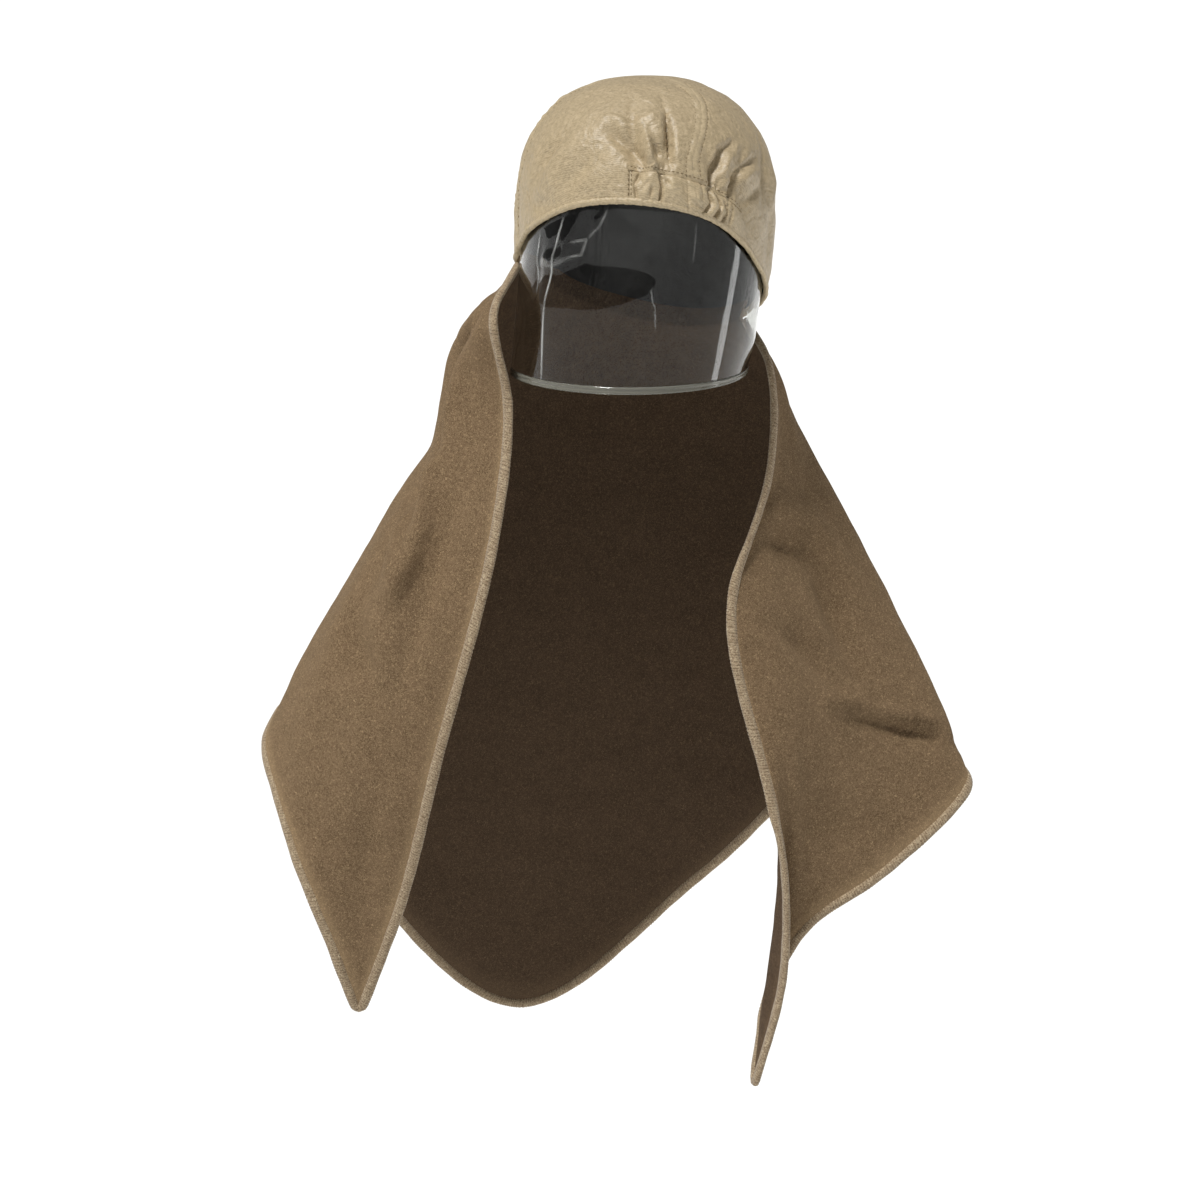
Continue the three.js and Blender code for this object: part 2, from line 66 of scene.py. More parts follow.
# Folds of the crown: azimuth in degrees, height, half length, half width and depth as shares of
# the cap's top, and lean in degrees from upright
CROWN_FOLDS = np.array([
    [-6, 0.70, 0.16, 0.040, -0.035, 14],
    [1, 0.68, 0.14, 0.035, 0.020, -4],
    [9, 0.72, 0.14, 0.025, -0.025, -6],
    [31, 0.56, 0.12, 0.035, -0.030, 14],
    [44, 0.50, 0.16, 0.040, -0.025, 24],
    [-42, 0.68, 0.20, 0.060, 0.015, -40],
    [-58, 0.55, 0.18, 0.050, -0.015, -30],
    [68, 0.40, 0.30, 0.050, -0.020, 6],
])

# Levels of the drape below the cap's edge, as shares of a section's drop
LEVEL_SHARES = np.array([0.06, 0.18, 0.36, 0.62, 0.82, 1.0])

# Sections of the drape from the left front edge round the back to the right front edge: azimuth
# at the cap, foot as a share of the drop, then out and back at each level as shares of the reach
# and the depth
SECTIONS = np.array([
    [-84, 0.919, -0.368, -0.39, -0.335, -0.35, -0.378, -0.57, -0.514, -0.69, -0.615, -0.61, -0.746, -0.52],
    [-88, 0.819, -0.384, -0.35, -0.401, -0.24, -0.457, -0.44, -0.623, -0.64, -0.719, -0.6, -0.808, -0.56],
    [-92, 0.718, -0.4, -0.27, -0.475, -0.08, -0.529, -0.27, -0.702, -0.53, -0.798, -0.53, -0.89, -0.51],
    [-100, 0.64, -0.4, -0.08, -0.44, 0.06, -0.5, 0.03, -0.755, -0.33, -0.866, -0.39, -0.954, -0.35],
    [-112, 0.585, -0.425, 0.08, -0.505, 0.31, -0.552, 0.27, -0.74, -0.05, -0.888, -0.11, -0.998, -0.08],
    [-125, 0.566, -0.396, 0.32, -0.482, 0.56, -0.546, 0.61, -0.712, 0.47, -0.831, 0.4, -0.937, 0.32],
    [-145, 0.888, -0.276, 0.72, -0.374, 0.79, -0.453, 0.85, -0.566, 0.85, -0.655, 0.8, -0.73, 0.75],
    [-170, 1.06, -0.09, 0.84, -0.144, 0.91, -0.195, 0.97, -0.26, 1.0, -0.306, 0.97, -0.352, 0.92],
    [-195, 0.86, 0.098, 0.8, 0.129, 0.87, 0.145, 0.95, 0.167, 0.97, 0.184, 0.93, 0.172, 0.88],
    [-220, 0.624, 0.221, 0.6, 0.279, 0.66, 0.357, 0.69, 0.463, 0.65, 0.536, 0.57, 0.622, 0.44],
    [-235, 0.639, 0.308, 0.3, 0.375, 0.33, 0.493, 0.29, 0.655, 0.17, 0.775, 0.05, 0.856, -0.09],
    [-242, 0.73, 0.313, 0.21, 0.363, 0.15, 0.42, 0.0, 0.52, -0.22, 0.6, -0.3, 0.65, -0.35],
    [-248, 0.813, 0.311, 0.12, 0.341, 0.01, 0.313, -0.28, 0.367, -0.55, 0.395, -0.51, 0.404, -0.44],
    [-251, 0.903, 0.314, 0.05, 0.331, -0.07, 0.247, -0.41, 0.331, -0.63, 0.339, -0.52, 0.32, -0.41],
    [-254, 1.017, 0.314, -0.01, 0.313, -0.17, 0.214, -0.49, 0.335, -0.67, 0.354, -0.64, 0.282, -0.57],
])

# Soft folds of the drape: from and to as [section, share of the way down], half width and depth
# in millimetres, negative inwards, and the side towards which the fold runs out gently (1 the
# right and -1 the left as one looks down the fold from outside, 0 both alike)
DRAPE_FOLDS = np.array([
    [3.0, 0.15, 2.3, 0.30, 6.0, 4.0, 1],
    [2.3, 0.30, 2.15, 0.44, 6.0, 4.0, 1],
    [2.15, 0.44, 1.85, 0.51, 6.0, 4.0, 1],
    [3.4, 0.06, 2.8, 0.48, 11.0, -11.0, 0],
    [5.4, 0.46, 3.0, 0.56, 20.0, -6.0, 0],
    [3.1, 0.46, 2.2, 0.48, 11.0, -6.0, 0],
    [3.0, 0.56, 2.0, 0.60, 11.0, 8.0, 0],
    [2.0, 0.48, 1.65, 0.56, 8.0, 7.0, -1],
    [1.65, 0.56, 1.8, 0.61, 9.0, 7.0, -1],
    [1.2, 0.48, 1.0, 0.66, 12.0, -4.0, 0],
    [2.6, 0.68, 1.5, 0.70, 13.0, -8.0, 0],
    [2.9, 0.62, 2.4, 0.76, 13.0, -5.0, 0],
    [1.4, 0.76, 0.5, 0.84, 24.0, 4.0, 0],
    [1.0, 0.70, 0.5, 0.96, 14.0, -3.5, 0],
    [0.6, 0.14, 0.5, 0.46, 7.0, -2.0, 0],
    [12.3, 0.445, 11.0, 0.50, 8.0, 4.5, 0],
    [11.0, 0.50, 10.6, 0.62, 9.0, 3.5, 0],
    [12.3, 0.49, 11.2, 0.54, 9.0, -7.0, 0],
    [11.2, 0.54, 10.95, 0.69, 11.0, -7.0, 0],
    [12.0, 0.58, 11.3, 0.68, 12.0, -7.0, 0],
    [11.5, 0.69, 10.4, 0.86, 6.0, 6.0, 0],
    [11.3, 0.73, 10.1, 0.95, 6.0, -5.0, 0],
    [12.2, 0.80, 11.2, 0.96, 14.0, -3.0, 0],
    [11.2, 0.10, 11.0, 0.42, 11.0, 3.0, 0],
    [12.2, 0.70, 12.3, 0.95, 8.0, 2.0, 0],
    [5.6, 0.10, 6.2, 0.90, 16.0, 3.5, 0],
    [7.4, 0.05, 7.9, 0.90, 18.0, -4.0, 0],
    [8.6, 0.08, 9.2, 0.90, 15.0, 3.0, 0],
])

# Small creases of the crown, which only its finished face shows: from and to as azimuth in degrees
# and height in millimetres, then the same columns as the drape's folds
CROWN_CREASES = np.array([
    [-22, 125, -8, 122, 4.0, 2.6, -1],
    [-8, 122, 10, 128, 4.0, 3.0, -1],
    [-20, 117, -4, 101, 4.5, -4.6, 0],
    [-4, 101, 0, 90, 3.5, -3.0, 0],
    [-2, 118, 3, 92, 5.5, 4.0, -1],
    [2, 108, 6, 98, 3.5, -3.6, 0],
    [7, 124, 6.8, 108, 5.0, 2.4, -1],
    [10.4, 128, 9.6, 94, 2.4, -3.8, 1],
    [13, 96, 12, 108, 6.0, 1.6, 0],
    [26.5, 76, 29.5, 89.5, 2.8, -3.6, -1],
    [29.5, 89.5, 37, 104, 3.0, -3.8, -1],
    [37, 104, 47, 109, 3.4, -2.6, -1],
    [38, 101, 32, 86, 4.0, -2.8, 0],
    [33.5, 84, 41, 99, 3.6, 3.0, 0],
    [36.5, 68, 38.8, 78, 2.4, -3.4, -1],
    [38.8, 78, 44, 88, 2.6, -3.6, -1],
    [44, 88, 60, 97, 3.2, -2.8, -1],
    [52, 101, 44.5, 91, 4.0, -2.4, 0],
    [44, 80, 56, 88, 4.0, 2.0, 0],
    [47, 66, 62, 76, 4.0, -1.8, 0],
    [-57, 88, -45, 115, 5.0, -1.8, 0],
    [-40, 75, -23, 104, 7.0, -2.2, 0],
    [-34, 100, -18, 136, 8.0, 1.6, 0],
    [-62, 60, -40, 66, 6.0, -1.4, 0],
    [60, 62, 76, 108, 5.0, -2.0, 0],
    [67, 48, 82, 92, 6.0, 1.8, 0],
    [82, 20, 92, 70, 5.0, -1.8, 0],
])

# Fans of gathers above the casing: azimuth in degrees, folds per radian, reach and height in
# millimetres
FANS = np.array([
    [-1.0, 9.0, 14.0, 2.4],
    [31.0, 8.0, 16.0, 2.6],
    [6.0, 11.0, 10.0, 2.0],
])

# Gathers of the front casing, with the crown creases' columns
GATHERS = np.array([
    [-3.5, 89, -6.0, 80.5, 1.3, -3.0, 0],
    [-6.0, 80.5, -4.6, 70, 1.3, -3.0, 0],
    [-0.5, 87, -1.6, 73, 3.4, 1.6, 0],
    [-2.6, 78, 0.6, 84, 1.5, -1.5, 0],
    [1.6, 80, 0.8, 71, 1.3, -1.6, 0],
    [4.5, 89, 5.3, 79.5, 1.3, -3.2, 1],
    [5.3, 79.5, 4.4, 68, 1.3, -3.2, 1],
    [9.0, 86, 12.0, 76, 4.0, 1.3, 0],
    [7.2, 84.5, 9.0, 81, 1.3, -1.8, 0],
    [15.0, 82, 17.0, 70, 2.4, -0.9, 0],
    [20.5, 76, 20.0, 66, 3.5, 0.7, 0],
    [26.0, 76, 27.4, 67, 1.3, -3.0, 0],
    [27.4, 67, 23.0, 58, 1.3, -2.8, 0],
    [28.0, 74, 29.8, 66, 2.0, 1.5, 0],
    [29.8, 66, 25.6, 56, 2.0, 1.5, 0],
    [30.0, 73, 32.6, 64, 1.3, -3.0, 0],
    [32.6, 64, 27.6, 53, 1.3, -2.8, 0],
    [33.6, 67, 30.6, 53, 1.8, 1.2, 0],
    [34.4, 68, 35.8, 60, 1.2, -2.2, 0],
    [35.8, 60, 31.4, 49, 1.2, -2.0, 0],
    [38.4, 63, 36.0, 50, 1.5, -1.4, 0],
])

# Dents of the visor: place across and down as shares of its width and height, half sizes and
# depth as shares of the visor's depth
VISOR_DENTS = np.array([
    [0.30, 0.30, 0.16, 0.14, -0.050],
    [0.18, 0.55, 0.05, 0.90, 0.022],
    [0.86, 0.70, 0.09, 0.35, 0.020],
])

# Creases in the visor: from and to as shares across and down, half width and depth in millimetres
VISOR_CREASES = np.array([
    [0.250, 0.02, 0.215, 0.30, 4.0, 2.4, 0],
    [0.300, 0.05, 0.285, 0.30, 5.0, -2.6, 0],
    [0.340, 0.01, 0.250, 0.22, 4.0, 1.6, 0],
    [0.140, 0.22, 0.240, 0.26, 5.0, 2.2, 0],
    [0.150, 0.05, 0.135, 0.45, 4.0, -1.4, 0],
    [0.500, 0.90, 0.545, 0.97, 4.0, 1.2, 0],
])

# Painted highlight lines on the visor, drawn as whitened, less clear vinyl: from and to as shares
# across and down, half width in millimetres and strength from 0 to 1
VISOR_PAINTED_HIGHLIGHTS = np.array([
    [0.222, 0.00, 0.196, 0.22, 0.45, 0.45],
    [0.196, 0.22, 0.184, 0.50, 0.45, 0.55],
    [0.184, 0.50, 0.186, 1.00, 0.45, 0.55],
    [0.140, 0.03, 0.130, 0.18, 0.5, 0.40],
    [0.130, 0.18, 0.140, 0.42, 0.5, 0.35],
    [0.150, 0.22, 0.190, 0.28, 1.6, 0.12],
    [0.190, 0.28, 0.235, 0.26, 1.6, 0.10],
    [0.235, 0.26, 0.275, 0.25, 0.6, 0.18],
    [0.275, 0.25, 0.290, 0.17, 0.6, 0.18],
    [0.290, 0.17, 0.250, 0.17, 0.6, 0.14],
    [0.295, 0.16, 0.325, 0.10, 0.5, 0.16],
    [0.325, 0.10, 0.340, 0.02, 0.5, 0.16],
    [0.466, 0.44, 0.474, 0.52, 0.35, 0.20],
    [0.474, 0.52, 0.480, 0.54, 0.35, 0.20],
    [0.480, 0.54, 0.486, 0.66, 0.35, 0.16],
    [0.560, 0.02, 0.563, 0.24, 0.35, 0.12],
])


def around_table(values: Array, place: Array) -> Array:
    """Catmull-Rom value at a place in a table that repeats all the way round.

    Args:
        values: the table's numbers.
        place: positions in the table, where 1 is one step.

    Returns:
        The smooth value at each place.
    """
    index = np.floor(place).astype(int)
    a, b, c, d = (values[(index + step) % len(values)] for step in (-1, 0, 1, 2))
    f = place - index
    return b + 0.5 * f * (c - a + f * (2 * a - 5 * b + 4 * c - d + f * (3 * (b - c) + d - a)))


def spline(knots: Array, place: Array, power: float = 0.5) -> Array:
    """Points of a cubic through knots, whose tangents weigh each chord by its length to a power.

    The ends are reflected through the first and last knot. All curves are worked out at once.

    Args:
        knots: knots along the first axis, then any number of curves, then x, y, z.
        place: positions along the knots as shares of the whole, from 0 to 1.
        power: 0.5 for a centripetal curve, 0 for one that counts each chord alike.

    Returns:
        The points, with the places along the first axis.
    """
    whole = np.concatenate([[2 * knots[0] - knots[1]], knots, [2 * knots[-1] - knots[-2]]])
    at = np.clip(place, 0, 1) * (len(knots) - 1)
    index = np.minimum(np.floor(at).astype(int), len(knots) - 2)
    f = (at - index).reshape((-1,) + (1,) * (knots.ndim - 1))
    p = [whole[index + step] for step in range(4)]
    chord = [
        np.maximum(np.linalg.norm(q - r, axis=-1, keepdims=True), 1e-6) ** power
        for q, r in zip(p[1:], p[:-1])
    ]
    rise = (p[1] - p[0]) / chord[0] - (p[2] - p[0]) / (chord[0] + chord[1]) + (p[2] - p[1]) / chord[1]
    fall = (p[2] - p[1]) / chord[1] - (p[3] - p[1]) / (chord[1] + chord[2]) + (p[3] - p[2]) / chord[2]
    t1, t2 = rise * chord[1], fall * chord[1]
    square = 3 * (p[2] - p[1]) - 2 * t1 - t2
    cube = 2 * (p[1] - p[2]) + t1 + t2
    return p[1] + f * (t1 + f * (square + f * cube))


def unit(vectors: Array) -> Array:
    """Vectors scaled to length 1."""
    return vectors / np.maximum(np.linalg.norm(vectors, axis=-1, keepdims=True), 1e-9)


def grid_normals(points: Array) -> Array:
    """Unit normals of a grid: the slope down the rows crossed with the slope along them."""
    down, along = np.gradient(points, axis=0), np.gradient(points, axis=1)
    return unit(np.cross(-down, along))


def crumple(points: Array, pitch: float, seed: int) -> Array:
    """Soft creases from -1 to 1: ridges 1 - 2|sin| along bent lines in eight directions, averaged.

    Args:
        points: places in millimetres.
        pitch: distance between creases in millimetres.
        seed: choice of directions and phases.

    Returns:
        The height at each place.
    """
    draw = np.random.default_rng(seed)
    ways = unit(draw.normal(size=(8, 3))) / pitch
    phases = draw.uniform(0, TAU, size=(8, 2))
    bend = np.sin(points @ (ways[::-1].T * 1.7) + phases[:, 0])
    return np.mean(1 - 2 * np.abs(np.sin(points @ (ways.T * np.pi) + phases[:, 1] + 0.9 * bend)), axis=-1)


def ripple(points: Array, pitch: float, seed: int) -> Array:
    """Smooth waves: twice the mean of eight sines in seeded directions and pitches.

    Args:
        points: places in millimetres.
        pitch: rough distance between waves in millimetres.
        seed: choice of directions, pitches and phases.

    Returns:
        The height at each place, mostly between -1 and 1.
    """
    draw = np.random.default_rng(seed)
    ways = unit(draw.normal(size=(8, 3))) * draw.uniform(0.6, 1.6, size=(8, 1)) * TAU / pitch
    return np.mean(np.sin(points @ ways.T + draw.uniform(0, TAU, size=8)), axis=-1) * 2


def strokes(points: Array, normals: Array, starts: Array, ends: Array, table: Array) -> Array:
    """Sum of folds, each a bell across the line between two places. A fold with a gentle side is
    1.6 times as wide there and 0.45 times as wide on the other side, and every fold fades at its
    ends as half a sine.

    Args:
        points: places on the cloth, in millimetres.
        normals: outward direction at each place.
        starts: where each fold starts, one row each.
        ends: where each fold ends.
        table: half width, depth and gentle side of each fold, one row each.

    Returns:
        Millimetres outwards at each place.
    """
    total = np.zeros(points.shape[:-1])
    for start, end, (width, depth, side) in zip(starts, ends, table):
        way = end - start
        along = np.clip((points - start) @ way / (way @ way), 0, 1)
        away = points - start - along[..., None] * way
        turn = np.sign(np.sum(np.cross(way, away) * normals, axis=-1)) * side
        spread = width * np.where(turn > 0, 1.6, np.where(turn < 0, 0.45, 1.0))
        fade = np.sin(np.pi * (0.12 + 0.76 * along))
        total += depth * fade * np.exp(-np.sum(away**2, axis=-1) / spread**2)
    return total


@dataclass
class Surface:
    """A mesh in the making: points in millimetres, four-cornered faces and what they carry."""

    points: Array
    quads: Array
    skin: Array
    uv: Array | None = None
    wear_and_highlight: Array | None = None

    @classmethod
    def wall(
        cls,
        outer: Array,
        inner: Array,
        keep: Array | None = None,
        uv: Array | None = None,
        wear_and_highlight: Array | None = None,
    ) -> "Surface":
        """A closed wall: two grids of points, with a rim wherever the kept cells end.

        Args:
            outer: rows by columns by 3, the outer face.
            inner: the same for the inner face.
            keep: rows - 1 by columns - 1, which cells are cloth. All of them when left out.
            uv: rows by columns by 2, in metres of cloth.
            wear_and_highlight: rows by columns, from 0 to 1, real wear and painted highlight.

        Returns:
            The wall as one surface.
        """
        rows, columns = outer.shape[:2]
        keep = np.ones((rows - 1, columns - 1), bool) if keep is None else keep
        near = np.arange(rows * columns).reshape(rows, columns)
        far = near + rows * columns
        a, b, c, d = near[:-1, :-1], near[:-1, 1:], near[1:, 1:], near[1:, :-1]
        e, f, g, h = far[:-1, :-1], far[:-1, 1:], far[1:, 1:], far[1:, :-1]
        padded = np.pad(keep, 1)
        cells = padded[1:-1, 1:-1]
        edges = [
            (cells & ~padded[:-2, 1:-1], (b, a, e, f)),
            (cells & ~padded[2:, 1:-1], (d, c, g, h)),
            (cells & ~padded[1:-1, :-2], (a, d, h, e)),
            (cells & ~padded[1:-1, 2:], (c, b, f, g)),
        ]
        faces = [np.stack([x[keep] for x in (a, b, c, d)], 1)]
        faces.append(np.stack([x[keep] for x in (e, h, g, f)], 1))
        faces += [np.stack([x[mask] for x in loop], 1) for mask, loop in edges]
        counts = [len(faces[0]), len(faces[1]), sum(len(x) for x in faces[2:])]
        skin = np.repeat([Skin.OUTER.value, Skin.INNER.value, Skin.RIM.value], counts)
        return cls(
            np.concatenate([outer.reshape(-1, 3), inner.reshape(-1, 3)]),
            np.concatenate(faces),
            skin,
            None if uv is None else np.tile(uv.reshape(-1, 2), (2, 1)),
            None if wear_and_highlight is None else np.tile(wear_and_highlight.reshape(-1), 2),
        )

    @classmethod
    def tube(cls, rings: Array, uv: Array | None = None, wear_and_highlight: Array | None = None) -> "Surface":
        """A closed tube from rings of points, with its ends drawn to their middles.

        Args:
            rings: steps by sides by 3.
            uv: steps by sides by 2, in metres of cloth.
            wear_and_highlight: steps by sides, from 0 to 1, real wear and painted highlight.

        Returns:
            The tube as one surface.
        """
        middles = np.repeat(rings[[0, -1]].mean(1, keepdims=True), rings.shape[1], 1)
        whole = np.concatenate([middles[:1], rings, middles[1:]])
        steps, sides = whole.shape[:2]
        index = np.arange(steps * sides).reshape(steps, sides)
        turned = np.roll(index, -1, axis=1)
        quads = np.stack([index[:-1], turned[:-1], turned[1:], index[1:]], -1).reshape(-1, 4)
        wide = [None if x is None else np.concatenate([x[:1], x, x[-1:]]) for x in (uv, wear_and_highlight)]
        return cls(
            whole.reshape(-1, 3),
            quads,
            np.zeros(len(quads), int),
            None if wide[0] is None else wide[0].reshape(-1, 2),
            None if wide[1] is None else wide[1].reshape(-1),
        )

    @classmethod
    def joined(cls, parts: Sequence["Surface"]) -> "Surface":
        """Several surfaces in one mesh, without UVs or wear and highlight values.

        Args:
            parts: the surfaces.

        Returns:
            Their points and faces in one surface.
        """
        starts = np.cumsum([0] + [len(part.points) for part in parts[:-1]])
        return cls(
            np.concatenate([part.points for part in parts]),
            np.concatenate([part.quads + start for part, start in zip(parts, starts)]),
            np.concatenate([part.skin for part in parts]),
        )

    def outward(self) -> Array:
        """The faces, all turned round if the surface encloses a negative volume.

        Returns:
            Four point numbers for each face.
        """
        a, b, c, d = (self.points[self.quads[:, i]] for i in range(4))
        volume = np.sum(a * np.cross(b, c)) + np.sum(a * np.cross(c, d))
        return self.quads[:, ::-1] if volume < 0 else self.quads


def put_in(
    name: str, surface: Surface, materials: Sequence[Any], nodes: Sequence[str] = ()
) -> Any:
    """Makes the object of a surface, in metres, and ties it to the CAD frame.

    Args:
        name: the piece's name.
        surface: what it is made of.
        materials: one material, or one each for the outer face, the inner face and the rim.
        nodes: CAD nodes that the piece takes the place of.

    Returns:
        The new object.
    """
    mesh = bpy.data.meshes.new(name)
    quads = surface.outward()
    mesh.from_pydata((surface.points * MM).tolist(), [], quads.tolist())
    mesh.update()
    corner = np.empty(len(mesh.loops), np.int32)
    mesh.loops.foreach_get("vertex_index", corner)
    if surface.uv is not None:
        layer = mesh.uv_layers.new(name="cloth")
        layer.data.foreach_set("uv", (surface.uv * MM)[corner].ravel())
    if surface.wear_and_highlight is not None:
        layer = mesh.attributes.new("wear_and_highlight", "FLOAT", "POINT")
        layer.data.foreach_set("value", surface.wear_and_highlight.astype(np.float32))
    for material in materials:
        mesh.materials.append(material)
    if len(materials) > 1:
        mesh.polygons.foreach_set("material_index", surface.skin.astype(np.int32))
    mesh.polygons.foreach_set("use_smooth", np.ones(len(mesh.polygons), bool))
    tidy = bmesh.new()
    tidy.from_mesh(mesh)
    bmesh.ops.remove_doubles(tidy, verts=tidy.verts, dist=1e-6)
    loose = [vertex for vertex in tidy.verts if not vertex.link_faces]
    bmesh.ops.delete(tidy, geom=loose, context="VERTS")
    tidy.to_mesh(mesh)
    tidy.free()
    mesh.set_sharp_from_angle(angle=float(np.radians(55)))
    piece = bpy.data.objects.new(name, mesh)
    bpy.context.scene.collection.objects.link(piece)
    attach(piece, "root")
    if nodes:
        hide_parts(*nodes)
    log.info("%s: %d faces", name, len(mesh.polygons))
    return piece


def linear(colour: str) -> tuple[float, float, float, float]:
    """An sRGB hex colour as linear light, by the curve of the sRGB standard.

    Args:
        colour: a hash sign and six hex digits.

    Returns:
        Red, green, blue and alpha.
    """
    share = np.array([int(colour[i : i + 2], 16) / 255 for i in (1, 3, 5)])
    light = np.where(share <= 0.04045, share / 12.92, ((share + 0.055) / 1.055) ** 2.4)
    return (float(light[0]), float(light[1]), float(light[2]), 1.0)


def add_node(
    tree: Any, kind: str, settings: dict[Any, Any] | None = None, links: dict[Any, Any] | None = None
) -> Any:
    """Adds a node with its settings and links.

    Args:
        tree: the node tree.
        kind: the node's type name.
        settings: values by attribute name, or else by input name or number.
        links: output sockets by the input name or number that they go to.

    Returns:
        The new node.
    """
    node = tree.nodes.new(kind)
    for key, value in (settings or {}).items():
        if isinstance(key, str) and hasattr(node, key):
            setattr(node, key, value)
        else:
            node.inputs[key].default_value = value
    for key, socket in (links or {}).items():
        tree.links.new(socket, node.inputs[key])
    return node


def noise_scale(size: float) -> float:
    """Noise scale for features of a size in millimetres."""
    return 1 / (size * MM)


def band_scale(period: float) -> float:
    """Wave texture scale for bands a period in millimetres apart: its own period is 2 pi / 20."""
    return TAU / 20 / (period * MM)


def blank(name: str) -> tuple[Any, Any, Any]:
    """A new material's tree with its shader.

    Args:
        name: the material's name.

    Returns:
        The material, its node tree and its Principled shader.
    """
    material = bpy.data.materials.new(name)
    material.use_nodes = True
    tree = material.node_tree
    shader = tree.nodes["Principled BSDF"]
    return material, tree, shader


@dataclass(frozen=True)
class SateenCotton:
    """Cotton sateen, piece-dyed and creased. Its long floats give a soft sheen on the folds and a
    fine slanted line, and slubs in the yarn mottle it."""

    name: str
    colour: str
    shade: str
    light: str
    roughness: float = 0.44
    sheen: float = 0.15
    float_pitch: float = 1.1  # real floats lie 0.4 mm apart, drawn coarser to show
    slub_size: float = 2.6
    crease_size: float = 13.0
    relief: float = 1.0  # share of the full depth of weave and creases

    def make(self) -> Any:
        """Builds the material: weave, slubs and creases on Object coordinates, and lightening by the
        wear_and_highlight attribute, which holds real wear and painted highlight.

        Returns:
            The material.
        """
        material, tree, shader = blank(self.name)
        place = add_node(tree, "ShaderNodeTexCoord").outputs["Object"]
        slant = add_node(tree, "ShaderNodeMapping", {"Rotation": (0.5, 0.7, 0.4)}, {"Vector": place})
        bands = {"wave_type": "BANDS", "bands_direction": "DIAGONAL", "Distortion": 7.0, "Detail": 3.0}
        bands |= {"Scale": band_scale(self.float_pitch), "Detail Scale": 1.2}
        weave = add_node(tree, "ShaderNodeTexWave", bands, {"Vector": slant.outputs[0]}).outputs["Fac"]
        grain = {"Scale": noise_scale(self.slub_size), "Detail": 5.0, "Roughness": 0.65}
        slub = add_node(tree, "ShaderNodeTexNoise", grain, {"Vector": slant.outputs[0]}).outputs["Fac"]
        bends = {"Scale": noise_scale(self.crease_size), "Detail": 3.0, "Distortion": 1.6, "Roughness": 0.5}
        crease = add_node(tree, "ShaderNodeTexNoise", bends, {"Vector": place}).outputs["Fac"]
        wear_and_highlight_level = add_node(tree, "ShaderNodeAttribute", {"attribute_name": "wear_and_highlight"}).outputs["Fac"]
        slubby = add_node(tree, "ShaderNodeMapRange", {"From Min": 0.38, "From Max": 0.64}, {"Value": slub})
        tone = add_node(
            tree,
            "ShaderNodeMix",
            {"data_type": "RGBA", 6: linear(self.shade), 7: linear(self.colour)},
            {0: slubby.outputs[0]},
        )
        lines = add_node(tree, "ShaderNodeMapRange", {"From Max": 2.6}, {"Value": weave})
        thread = add_node(
            tree,
            "ShaderNodeMix",
            {"data_type": "RGBA", 7: linear(self.light)},
            {0: lines.outputs[0], 6: tone.outputs[2]},
        )
        # lightened towards the light colour by the wear_and_highlight attribute: real wear along seams and
        # hem, painted highlight on the casing's bulges
        rubbed_and_highlit = add_node(tree, "ShaderNodeMapRange", {"From Max": 2.5}, {"Value": wear_and_highlight_level})
        edge = add_node(
            tree,
            "ShaderNodeMix",
            {"data_type": "RGBA", 7: linear(self.light)},
            {0: rubbed_and_highlit.outputs[0], 6: thread.outputs[2]},
        )
        tree.links.new(edge.outputs[2], shader.inputs["Base Color"])
        depth = {"Strength": 0.25 * self.relief, "Distance": 0.0002}
        fine = add_node(tree, "ShaderNodeBump", depth, {"Height": weave})
        slubs = add_node(
            tree,
            "ShaderNodeBump",
            {"Strength": 0.5 * self.relief, "Distance": 0.0006},
            {"Height": slub, "Normal": fine.outputs[0]},
        )
        broad = add_node(
            tree,
            "ShaderNodeBump",
            {"Strength": 0.5 * self.relief, "Distance": 0.0035},
            {"Height": crease, "Normal": slubs.outputs[0]},
        )
        tree.links.new(broad.outputs[0], shader.inputs["Normal"])
        ends = {"To Min": self.roughness - 0.06, "To Max": self.roughness + 0.08}
        rough = add_node(tree, "ShaderNodeMapRange", ends, {"Value": slub})
        tree.links.new(rough.outputs[0], shader.inputs["Roughness"])
        shader.inputs["Sheen Weight"].default_value = self.sheen
        shader.inputs["Sheen Roughness"].default_value = 0.35
        shader.inputs["Sheen Tint"].default_value = linear(self.light)
        return material


